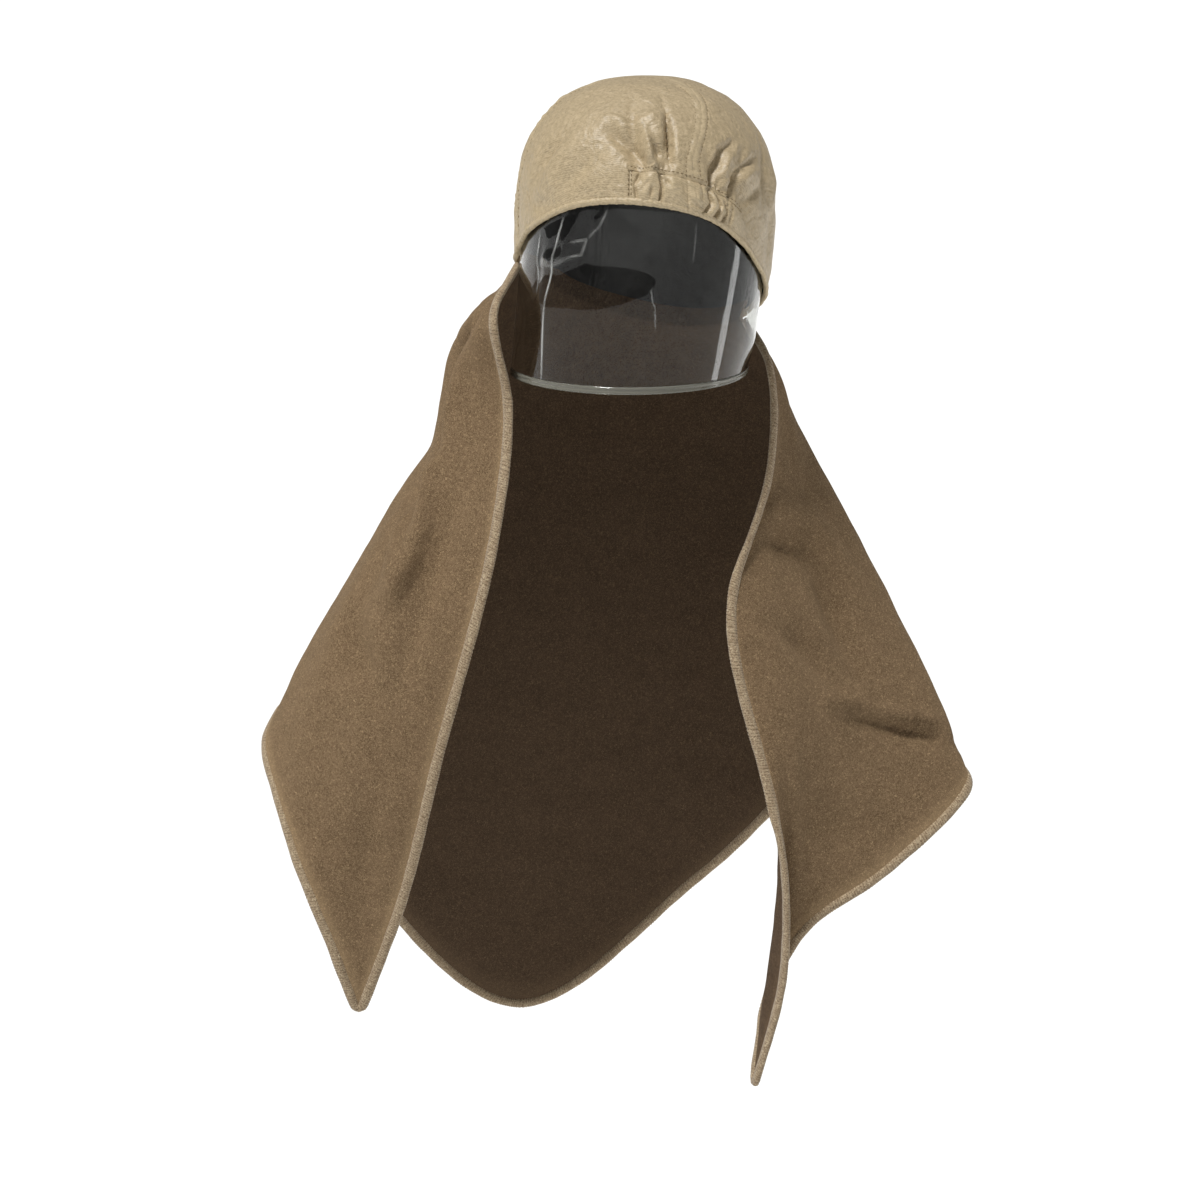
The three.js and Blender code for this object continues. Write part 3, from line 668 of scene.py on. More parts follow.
@dataclass(frozen=True)
class WoolFlannel:
    """Wool flannel, woven, milled and brushed. Short curled fibres hide the weave and give a matt
    brown with pale specks, and a faint bloom at grazing light."""

    name: str
    colour: str
    shade: str
    light: str
    fibre_size: float = 1.15  # real fibres are far finer, drawn as curls that show
    mottle_size: float = 14.0
    sheen: float = 0.22
    relief: float = 1.0  # share of the full depth of the fibres

    def make(self) -> Any:
        """Builds the material: curled fibres, mottle and a nap on Object coordinates.

        Returns:
            The material.
        """
        material, tree, shader = blank(self.name)
        place = add_node(tree, "ShaderNodeTexCoord").outputs["Object"]
        curls = {"Scale": noise_scale(self.fibre_size), "Detail": 2.0, "Roughness": 0.6, "Distortion": 1.8}
        fibre = add_node(tree, "ShaderNodeTexNoise", curls, {"Vector": place}).outputs["Fac"]
        clouds = {"Scale": noise_scale(self.mottle_size), "Detail": 6.0, "Roughness": 0.7}
        mottle = add_node(tree, "ShaderNodeTexNoise", clouds, {"Vector": place}).outputs["Fac"]
        wear_and_highlight_level = add_node(tree, "ShaderNodeAttribute", {"attribute_name": "wear_and_highlight"}).outputs["Fac"]
        cloudy = add_node(tree, "ShaderNodeMapRange", {"From Min": 0.25, "From Max": 0.75}, {"Value": mottle})
        base = add_node(
            tree,
            "ShaderNodeMix",
            {"data_type": "RGBA", 6: linear(self.shade), 7: linear(self.colour)},
            {0: cloudy.outputs[0]},
        )
        pale = {"From Min": 0.47, "From Max": 0.72, "To Max": 0.85}
        specks = add_node(tree, "ShaderNodeMapRange", pale, {"Value": fibre})
        speck = add_node(
            tree,
            "ShaderNodeMix",
            {"data_type": "RGBA", 7: linear(self.light)},
            {0: specks.outputs[0], 6: base.outputs[2]},
        )
        rubbed_and_highlit = add_node(tree, "ShaderNodeMapRange", {"From Max": 3.0}, {"Value": wear_and_highlight_level})
        edge = add_node(
            tree,
            "ShaderNodeMix",
            {"data_type": "RGBA", 7: linear(self.light)},
            {0: rubbed_and_highlit.outputs[0], 6: speck.outputs[2]},
        )
        tree.links.new(edge.outputs[2], shader.inputs["Base Color"])
        depth = {"Strength": 0.8 * self.relief, "Distance": 0.0009}
        fluff = add_node(tree, "ShaderNodeBump", depth, {"Height": fibre})
        soft = add_node(
            tree,
            "ShaderNodeBump",
            {"Strength": 0.3, "Distance": 0.002},
            {"Height": mottle, "Normal": fluff.outputs[0]},
        )
        tree.links.new(soft.outputs[0], shader.inputs["Normal"])
        shader.inputs["Roughness"].default_value = 0.95
        shader.inputs["Specular IOR Level"].default_value = 0.15
        shader.inputs["Sheen Weight"].default_value = self.sheen
        shader.inputs["Sheen Roughness"].default_value = 0.5
        shader.inputs["Sheen Tint"].default_value = linear(self.light)
        return material


@dataclass(frozen=True)
class WhippedYarn:
    """Soft wool yarn, whipped closely over the cloth's edge by machine. Each turn is a pale slanted
    cord, with painted shade in the groove between it and the next, blurred by its fuzz."""

    name: str
    colour: str
    shade: str
    light: str
    turn_pitch: float = 2.1
    fuzz_size: float = 1.7  # real fibres are far finer, drawn as curls that show

    def make(self) -> Any:
        """Builds the material: turns of yarn on the piece's own UV map, with painted shade in the grooves
        between turns, and fuzz.

        Returns:
            The material.
        """
        material, tree, shader = blank(self.name)
        coordinates = add_node(tree, "ShaderNodeTexCoord")
        flat = coordinates.outputs["UV"]
        along = add_node(tree, "ShaderNodeSeparateXYZ", {}, {"Vector": flat}).outputs["X"]
        turns = {"operation": "MULTIPLY", 1: np.pi / (self.turn_pitch * MM)}
        turn = add_node(tree, "ShaderNodeMath", turns, {0: along})
        wave = add_node(tree, "ShaderNodeMath", {"operation": "SINE"}, {0: turn.outputs[0]})
        ridge = add_node(tree, "ShaderNodeMath", {"operation": "ABSOLUTE"}, {0: wave.outputs[0]})
        curls = {"Scale": noise_scale(self.fuzz_size), "Detail": 3.0, "Distortion": 1.8}
        place = coordinates.outputs["Object"]
        fuzz = add_node(tree, "ShaderNodeTexNoise", curls, {"Vector": place}).outputs["Fac"]
        # painted shade: the shade colour fills the grooves between turns, in step with the tube's own grooves
        dark = {"From Max": 0.75, "To Min": 0.1}
        painted_groove_shade = add_node(tree, "ShaderNodeMapRange", dark, {"Value": ridge.outputs[0]})
        tone = add_node(
            tree,
            "ShaderNodeMix",
            {"data_type": "RGBA", 6: linear(self.shade), 7: linear(self.colour)},
            {0: painted_groove_shade.outputs[0]},
        )
        pale = {"From Min": 0.46, "From Max": 0.68, "To Max": 0.85}
        specks = add_node(tree, "ShaderNodeMapRange", pale, {"Value": fuzz})
        fuzzy = add_node(
            tree,
            "ShaderNodeMix",
            {"data_type": "RGBA", 7: linear(self.light)},
            {0: specks.outputs[0], 6: tone.outputs[2]},
        )
        tree.links.new(fuzzy.outputs[2], shader.inputs["Base Color"])
        bump = add_node(tree, "ShaderNodeBump", {"Strength": 0.8, "Distance": 0.0008}, {"Height": fuzz})
        tree.links.new(bump.outputs[0], shader.inputs["Normal"])
        shader.inputs["Roughness"].default_value = 0.9
        shader.inputs["Sheen Weight"].default_value = 0.2
        shader.inputs["Specular IOR Level"].default_value = 0.2
        return material


@dataclass(frozen=True)
class ClearVinyl:
    """Clear flexible vinyl sheet, calendered. It is glossy and slightly uneven, so that its
    reflections bend, and painted highlights stand on it as whiter, less clear lines."""

    name: str
    colour: str = "#ecedea"
    roughness: float = 0.0
    clearness: float = 1.0
    index: float = 1.26
    unevenness: float = 0.0006

    def make(self) -> Any:
        """Builds the material: a see-through shader with broad bends, whiter and less clear along painted
        highlight lines.

        Returns:
            The material.
        """
        material, tree, shader = blank(self.name)
        place = add_node(tree, "ShaderNodeTexCoord").outputs["Object"]
        broad = {"Scale": noise_scale(26.0), "Detail": 1.0}
        bends = add_node(tree, "ShaderNodeTexNoise", broad, {"Vector": place}).outputs["Fac"]
        depth = {"Strength": 0.4, "Distance": self.unevenness}
        bump = add_node(tree, "ShaderNodeBump", depth, {"Height": bends})
        tree.links.new(bump.outputs[0], shader.inputs["Normal"])
        # on the visor the wear_and_highlight attribute holds painted highlight lines, drawn less clear and
        # whiter
        wear_and_highlight_level = add_node(tree, "ShaderNodeAttribute", {"attribute_name": "wear_and_highlight"}).outputs["Fac"]
        ends = {"To Min": self.clearness, "To Max": 0.1 * self.clearness}
        clear = add_node(tree, "ShaderNodeMapRange", ends, {"Value": wear_and_highlight_level})
        tree.links.new(clear.outputs[0], shader.inputs["Transmission Weight"])
        shader.inputs["Base Color"].default_value = linear(self.colour)
        shader.inputs["Roughness"].default_value = self.roughness
        shader.inputs["IOR"].default_value = self.index
        return material


@dataclass(frozen=True)
class SpunThread:
    """Spun polyester sewing thread, twisted. It is close to the cloth's colour, and darker where
    it sinks into the cloth."""

    name: str
    colour: str
    shade: str

    def make(self) -> Any:
        """Builds the material: a matt thread with a fine mottle.

        Returns:
            The material.
        """
        material, tree, shader = blank(self.name)
        place = add_node(tree, "ShaderNodeTexCoord").outputs["Object"]
        mottle = {"Scale": noise_scale(0.8), "Detail": 2.0}
        twist = add_node(tree, "ShaderNodeTexNoise", mottle, {"Vector": place}).outputs["Fac"]
        tones = {"data_type": "RGBA", 6: linear(self.shade), 7: linear(self.colour)}
        tone = add_node(tree, "ShaderNodeMix", tones, {0: twist})
        tree.links.new(tone.outputs[2], shader.inputs["Base Color"])
        shader.inputs["Roughness"].default_value = 0.7
        return material


@dataclass(frozen=True)
class CapForm:
    """The cap's sizes in millimetres and the crown surface that all its pieces follow."""

    width: float = 197.0
    depth: float = 228.0
    top: float = 150.0
    fullest: float = 45.0
    lowest: float = -50.0
    wall: float = 2.0
    centre_x: float = -1.0
    centre_y: float = 5.0
    roundness: float = 2.45
    nape_narrowing: float = 0.09
    nape_shift: float = -11.0
    clearance: float = 0.4
    seams: tuple[float, ...] = (20.0, 110.0, 200.0, 290.0)
    seam_shift: tuple[float, ...] = (0.0, 0.0, 0.0, -9.0)  # degrees at the hem
    seam_lean: tuple[float, ...] = (26.0, 0.0, 0.0, -12.0)  # degrees more near the top
    lean_from: float = 94.0  # height at which the seams begin to lean
    seam_rows: float = 6.0  # the two rows of stitches lie this far from the seam
    band_half: float = 7.0  # half width of a seam's flat band, and the puckers' pitch
    band_rise: float = 0.5
    seam_sink: float = 0.3
    row_sink: float = 0.7
    pucker_rise: float = 0.5
    crease_gain: float = 1.4  # the finished creases are this much deeper than their table
    casing_start: float = -8.0
    casing_end: float = 45.0
    casing_height: float = 23.0

    def edge(self, azimuth: Array) -> Array:
        """Height of the cap's edge at each azimuth."""
        return self.top * around_table(EDGE_HEIGHTS, azimuth * len(EDGE_HEIGHTS) / 360)

    def crown(self, azimuth: Array, height: Array) -> Array:
        """The plain crown: an ellipse that closes to a rounded top by a superellipse, and narrows and
        shifts a little towards the nape.

        Args:
            azimuth: degrees from the face side towards +X.
            height: millimetres above the temples.

        Returns:
            Points in millimetres.
        """
        rise = np.clip((height - self.fullest) / (self.top - self.fullest), 0, 1)
        fall = np.maximum(0, (self.fullest - height) / (self.fullest - self.lowest))
        share = (1 - rise**self.roundness) ** (1 / self.roundness) * (1 - self.nape_narrowing * fall**2)
        angle = np.radians(azimuth)
        x = self.centre_x + self.nape_shift * fall**2 + self.width / 2 * share * np.sin(angle)
        y = self.centre_y - self.depth / 2 * share * np.cos(angle)
        return np.stack(np.broadcast_arrays(x, y, height), -1)

    def normal(self, azimuth: Array, height: Array) -> Array:
        """Outward direction of the plain crown: a step round it crossed with a step up it.

        Args:
            azimuth: degrees from the face side.
            height: millimetres above the temples.

        Returns:
            Unit vectors.
        """
        low = np.minimum(height, self.top - 1)
        across = self.crown(azimuth + 0.5, low) - self.crown(azimuth - 0.5, low)
        up = self.crown(azimuth, low + 0.5) - self.crown(azimuth, low - 0.5)
        return unit(np.cross(across, up))

    def fold_depth(self, azimuth: Array, height: Array) -> Array:
        """Sum of the main folds: each is a bell along a leaning line and a narrower one across it.

        Args:
            azimuth: degrees from the face side.
            height: millimetres above the temples.

        Returns:
            Millimetres outwards.
        """
        azimuth = (azimuth + 180) % 360 - 180
        ranks = max(np.ndim(azimuth), np.ndim(height))
        at, level, length, width, depth, lean = (x.reshape((-1,) + (1,) * ranks) for x in CROWN_FOLDS.T)
        across = np.radians(azimuth - at) * self.width / 2
        up = height - level * self.top
        slant = np.radians(lean)
        along = (up * np.cos(slant) - across * np.sin(slant)) / (length * self.top)
        aside = (across * np.cos(slant) + up * np.sin(slant)) / (width * self.top)
        return np.sum(depth * self.top * np.exp(-(along**2) - aside**2), axis=0)

    def offset(self, azimuth: Array, height: Array, out: Array | float) -> Array:
        """The crown with its main folds, moved out along its own outward direction."""
        depth = self.fold_depth(azimuth, height) + out
        return self.crown(azimuth, height) + self.normal(azimuth, height) * depth[..., None]

    def seam_turn(self, index: int, height: Array) -> Array:
        """Degrees that a seam stands off its plain azimuth: a shift, and a lean that grows upwards."""
        rise = np.clip((height - self.lean_from) / (self.top - self.lean_from), 0, 1)
        return self.seam_shift[index] + self.seam_lean[index] * rise**1.3

    def reach(self, azimuth: Array, height: Array) -> Array:
        """Level distance of the plain crown from the cap's axis, in millimetres."""
        return np.linalg.norm(self.crown(azimuth, height)[..., :2] - [self.centre_x, self.centre_y], axis=-1)

    def seam_distance(self, azimuth: Array, height: Array) -> Array:
        """Distance from the nearest seam: the angle to it times the reach from the cap's axis.

        Args:
            azimuth: degrees from the face side.
            height: millimetres above the temples.

        Returns:
            Millimetres, positive on the seam's far side.
        """
        reach = self.reach(azimuth, height)
        nearest = np.full(reach.shape, 1e3)
        for index, seam in enumerate(self.seams):
            turn = (azimuth - seam - self.seam_turn(index, height) + 180) % 360 - 180
            away = np.radians(turn) * reach
            nearest = np.where(np.abs(away) < np.abs(nearest), away, nearest)
        return nearest

    def relief(self, azimuth: Array, height: Array) -> Array:
        """Fine relief over the main folds: each seam a flat band with sunk rows of stitches and puckers
        as sines along it, then creases, a crumple, and fans of gathers as cosines of the angle about
        a point on the casing's top.

        Args:
            azimuth: degrees from the face side.
            height: millimetres above the temples.

        Returns:
            Millimetres outwards.
        """
        away = self.seam_distance(azimuth, height)
        band = self.band_rise * np.exp(-((away / self.band_half) ** 6))
        band = band - self.seam_sink * np.exp(-((away / 0.9) ** 2))
        rows = self.row_sink * np.exp(-((np.abs(away) - self.seam_rows) ** 2))
        wander = np.sin(height / 9.0) + np.sin(height / 5.3 + 2)
        pucker = self.pucker_rise * np.sin(TAU * height / self.band_half + 0.35 * away + wander)
        pucker = pucker * np.exp(-((away / 7.5) ** 4))
        points = self.crown(azimuth, height)
        total = band - rows + pucker + 1.7 * crumple(points, 42.0, 5) + 0.7 * crumple(points, 18.0, 11)
        total = total + self.crease_gain * self.creases(azimuth, height, CROWN_CREASES)
        turned = (azimuth + 180) % 360 - 180
        for centre, per_radian, reach, tall in FANS:
            across = np.radians(turned - centre) * self.width / 2
            up = height - self.edge(np.asarray(centre)) - self.casing_height + 4
            radius = np.hypot(across, up)
            fan = np.cos(per_radian * np.arctan2(across, up) + centre) * radius / (radius + 6)
            total = total + tall * fan * np.exp(-((radius / reach) ** 2)) * np.clip(up / 6, 0, 1)
        near_top = np.clip((self.top - height) / 6, 0, 1)
        return total * near_top

    def creases(self, azimuth: Array, height: Array, table: Array) -> Array:
        """Depth of a table's creases, laid on the crown as if it were rolled out flat.

        Args:
            azimuth: degrees from the face side.
            height: millimetres above the temples.
            table: rows of from and to, half width, depth and gentle side.

        Returns:
            Millimetres outwards.
        """
        across = np.radians((azimuth + 180) % 360 - 180) * self.width / 2
        points = np.stack(np.broadcast_arrays(across, height, 0.0), -1)
        girth = np.radians(self.width / 2)
        starts = table[:, :2] * [girth, 1.0] @ np.eye(2, 3)
        ends = table[:, 2:4] * [girth, 1.0] @ np.eye(2, 3)
        return strokes(points, np.array([0.0, 0.0, 1.0]), starts, ends, table[:, 4:])

    def skin(self, azimuth: Array, height: Array, out: float = 0.0) -> Array:
        """The finished outer face of the crown, moved out by a few millimetres."""
        return self.offset(azimuth, height, self.relief(azimuth, height) + out)

    def share_of(self, height: Array, edge: Array) -> Array:
        """Share of the way from the edge to the top, stepped by angle over the shoulder: the arcsine of
        the height above the lowest point.

        Args:
            height: millimetres above the temples.
            edge: height of the cap's edge there.

        Returns:
            Shares from 0 at the edge to 1 at the top.
        """
        span = self.top - self.lowest
        start = np.arcsin((edge - self.lowest) / span)
        return (np.arcsin(np.clip((height - self.lowest) / span, -1, 1)) - start) / (np.pi / 2 - start)

    def height_at(self, share: Array, edge: Array) -> Array:
        """Height at a share of the way from the edge to the top, which undoes share_of.

        Args:
            share: 0 at the edge and 1 at the top.
            edge: height of the cap's edge there.

        Returns:
            Millimetres above the temples.
        """
        span = self.top - self.lowest
        start = np.arcsin((edge - self.lowest) / span)
        return self.lowest + span * np.sin(start + (np.pi / 2 - start) * share)


@dataclass
class Crown:
    """The four panels of the cap, joined by felled seams."""

    form: CapForm
    panels: tuple[str, ...] = ("front_right", "back_right", "back_left", "front_left")
    columns: int = 110
    edge_rows: int = 12
    rows: int = 84
    casing_lap: float = 1.5  # the crown's cut edge lies this far over the casing

    def panel(self, index: int) -> Surface:
        """One panel between two seams, cut away where the front casing lies.

        Args:
            index: which panel, from the front seam towards +X.

        Returns:
            The panel's cloth as a closed wall.
        """
        form = self.form
        start = form.seams[index]
        marks = start + np.linspace(0, 90, self.columns + 1)
        cuts = np.array([form.casing_start + 360, form.casing_end, form.casing_end + 360])
        inside = cuts[(cuts > start) & (cuts < start + 90)]
        marks = np.sort(np.concatenate([marks, inside]))
        part = (marks - start) / 90
        after = (index + 1) % len(self.panels)
        near, far = (1 - part) ** 4, part**4
        edge = form.edge(marks + form.seam_shift[index] * near + form.seam_shift[after] * far)
        room = form.casing_height - self.casing_lap
        low = edge + np.linspace(0, 1, self.edge_rows)[:-1, None] * room
        first = form.share_of(edge + room, edge)
        share = first + np.linspace(0, 1, self.rows)[:, None] * (1 - first)
        height = np.minimum(np.concatenate([low, form.height_at(share, edge)]), form.top)
        azimuth = marks + form.seam_turn(index, height) * near + form.seam_turn(after, height) * far
        outer = form.skin(azimuth, height)
        normal = form.normal(azimuth, height)
        outer[-1] = outer[-1].mean(axis=0)
        inner = outer - normal * form.wall
        inner[-1] = outer[-1] - [0, 0, form.wall]
        middle = (marks[1:] + marks[:-1]) / 2
        turned = (middle + 180) % 360 - 180
        fronted = (turned > form.casing_start) & (turned < form.casing_end)
        keep = np.ones((height.shape[0] - 1, len(marks) - 1), bool)
        keep[: self.edge_rows - 1, fronted] = False
        wear_and_highlight = np.exp(-((form.seam_distance(azimuth, height) / 4.0) ** 2)) * 0.6
        return Surface.wall(outer, inner, keep, wear_and_highlight=wear_and_highlight)

    def build(self, cloth: Any, inside: Any) -> list[Any]:
        """Puts in the four panels.

        Args:
            cloth: material of the outer face and the cut edges.
            inside: material of the inner face, near-black as painted shade of the cap's interior.

        Returns:
            The four objects.
        """
        skins = (cloth, inside, cloth)
        return [
            put_in(f"crown_{side}", self.panel(index), skins, [f"crown_panel_{side}"])
            for index, side in enumerate(self.panels)
        ]


@dataclass
class FrontCasing:
    """The front band that holds the elastic, drawn into gathers at both ends."""

    form: CapForm
    thickness: float = 3.0
    puff: float = 1.9
    gather_gain: float = 1.3  # the finished gathers are this much deeper than their table
    columns: int = 360
    rows: int = 36

    def surface(self) -> Surface:
        """The band: half a sine from hem to top stitching, cut by its gathers and flat at both ends.

        Returns:
            The band's closed wall.
        """
        form = self.form
        azimuth = np.linspace(form.casing_start, form.casing_end, self.columns)[None, :]
        up = np.linspace(0, 1, self.rows)[:, None]
        height = form.edge(azimuth) + up * form.casing_height
        folds = self.gather_gain * form.creases(azimuth, height, GATHERS)
        puff = self.puff * np.sin(np.pi * np.clip(up, 0.02, 0.98)) ** 0.6
        along = (azimuth - form.casing_start) / (form.casing_end - form.casing_start)
        fade = np.clip(np.sin(np.pi * along), 0, 1) ** 0.4
        lap = 1.2 * np.clip((up - 0.88) / 0.06, 0, 1)
        swell = (puff + folds * (0.4 + 0.6 * np.sin(np.pi * up) ** 0.5)) * fade
        out = np.maximum(swell + form.relief(azimuth, height), 0.6 - self.thickness) - lap
        outer = form.offset(azimuth, height, np.maximum(out, 0.4 - self.thickness))
        inner = form.offset(azimuth, height, np.full_like(out, -self.thickness))
        # lighter where the casing swells out: painted highlight on its puff and gather ridges
        return Surface.wall(outer, inner, wear_and_highlight=np.clip(swell * 0.2, 0, 1))

    def build(self, cloth: Any, inside: Any) -> list[Any]:
        """Puts in the band."""
        # the band's inner face takes the near-black painted shade material
        skins = (cloth, inside, cloth)
        return [put_in("front_casing", self.surface(), skins, ["elastic_casing"])]


@dataclass
class CapHem:
    """The cap's lower edge, where the cotton is turned up to a soft roll."""

    form: CapForm
    half_width: float = 2.0
    half_height: float = 2.5
    steps: int = 900
    sides: int = 12

    def surface(self) -> Surface:
        """An oval ring carried round the edge, with small waves where the stitching draws it in.

        Returns:
            The hem's closed tube.
        """
        form = self.form
        azimuth = np.linspace(0, 360, self.steps)[:, None]
        angle = np.linspace(0, TAU, self.sides, endpoint=False)[None, :]
        height = form.edge(azimuth)
        centre = form.offset(azimuth, height, form.relief(azimuth, height) - form.wall / 2)
        normal = form.normal(azimuth, height)
        swell = 1 + 0.10 * np.sin(azimuth * 2.1) * np.sin(azimuth * 0.83) + 0.05 * np.sin(azimuth * 5.3)
        side = normal * (np.cos(angle) * self.half_width * swell)[..., None]
        up = np.array([0.0, 0.0, 1.0]) * (np.sin(angle) * self.half_height * swell)[..., None]
        return Surface.tube(centre + side + up, wear_and_highlight=0.5 + 0 * swell * angle)

    def build(self, cloth: Any) -> list[Any]:
        """Puts in the hem."""
        return [put_in("cap_hem", self.surface(), (cloth,))]


@dataclass
class Stitching:
    """Rows of thread on the cap: beside the seams, along the casing and across its ends."""

    form: CapForm
    stitch: float = 2.2
    gap: float = 1.1
    radius: float = 0.36
    # azimuths of the lower and upper ends of the rows across the casing's ends, in degrees
    end_rows: tuple[tuple[float, float], ...] = ((-8.4, -8.6), (-7.2, -7.4), (33.4, 40.8), (31.8, 39.2))

    def row(self, path: Array, normals: Array) -> Surface:
        """Stitches along a path: each is a bead of thread, bowed down into the cloth at its ends.

        Args:
            path: points of the path, in millimetres.
            normals: outward direction at each point.

        Returns:
            All stitches of the row.
        """
        reach = np.concatenate([[0], np.cumsum(np.linalg.norm(np.diff(path, axis=0), axis=1))])
        pitch = self.stitch + self.gap
        marks = np.arange(pitch / 2, reach[-1], pitch)
        at = np.stack([np.interp(marks, reach, path[:, i]) for i in range(3)], -1)
        out = unit(np.stack([np.interp(marks, reach, normals[:, i]) for i in range(3)], -1))
        ahead = np.stack([np.interp(marks + 0.5, reach, path[:, i]) for i in range(3)], -1)
        behind = np.stack([np.interp(marks - 0.5, reach, path[:, i]) for i in range(3)], -1)
        way = unit(ahead - behind)
        across = unit(np.cross(out, way))
        s = np.linspace(-1, 1, 6)[:, None]
        angle = np.linspace(0, TAU, 6, endpoint=False)[None, :]
        swell = self.radius * np.sqrt(np.clip(1 - s**6, 0.05, 1))
        x = s * self.stitch / 2 + 0 * angle
        y = swell * np.cos(angle)
        z = swell * np.sin(angle) + 0.1 - 0.45 * s**2
        shape = (
            at[:, None, None]
            + x[None, ..., None] * way[:, None, None]
            + y[None, ..., None] * across[:, None, None]
            + z[None, ..., None] * out[:, None, None]
        )
        count, steps, sides = shape.shape[:3]
        index = np.arange(count * steps * sides).reshape(count, steps, sides)
        turned = np.roll(index, -1, axis=2)
        quads = np.stack([index[:, :-1], turned[:, :-1], turned[:, 1:], index[:, 1:]], -1).reshape(-1, 4)
        ends = [index[:, 0, ::-1], index[:, -1, :]]
        halves = ([0, 1, 2, 3], [0, 3, 4, 5])
        caps = np.concatenate([end[:, half] for end in ends for half in halves])
        quads = np.concatenate([quads, caps])
        return Surface(shape.reshape(-1, 3), quads, np.zeros(len(quads), int))

    def seam_rows(self, index: int, top: float) -> list[Surface]:
        """The two rows beside one seam, from just above the hem to a height.

        Args:
            index: which seam, from the front one towards +X.
            top: height of the rows' upper ends.

        Returns:
            One surface for each row.
        """
        form = self.form
        seam = form.seams[index]
        clear = form.casing_height + 1 if index == 0 else 3
        height = np.linspace(float(form.edge(np.array(seam))) + clear, top, 160)
        aside = np.degrees(form.seam_rows / np.maximum(form.reach(np.full_like(height, seam), height), 8))
        rows = []
        for side in (-1, 1):
            azimuth = seam + form.seam_turn(index, height) + side * aside
            rows.append(self.row(form.skin(azimuth, height, 0.05), form.normal(azimuth, height)))
        return rows

    def casing_rows(self) -> list[Surface]:
        """The line of stitches along the casing's top and two short ones at each of its ends.

        Returns:
            One surface for each line.
        """
        form = self.form
        azimuth = np.linspace(form.casing_start - 0.5, form.casing_end + 0.5, 200)
        height = form.edge(azimuth) + form.casing_height + 1.2
        rows = [self.row(form.skin(azimuth, height, 0.1), form.normal(azimuth, height))]
        for low, high in self.end_rows:
            azimuth = np.linspace(low, high, 40)
            height = form.edge(azimuth) + np.linspace(3.5, form.casing_height - 1, 40)
            rows.append(self.row(form.skin(azimuth, height, 0.6), form.normal(azimuth, height)))
        return rows

    def build(self, thread: Any) -> list[Any]:
        """Puts in all the thread as two pieces.

        Args:
            thread: the thread's material.

        Returns:
            The two objects.
        """
        top = self.form.top - 5
        seams = [row for index in range(len(self.form.seams)) for row in self.seam_rows(index, top)]
        return [
            put_in("seam_stitches", Surface.joined(seams), (thread,)),
            put_in("casing_stitches", Surface.joined(self.casing_rows()), (thread,)),
        ]


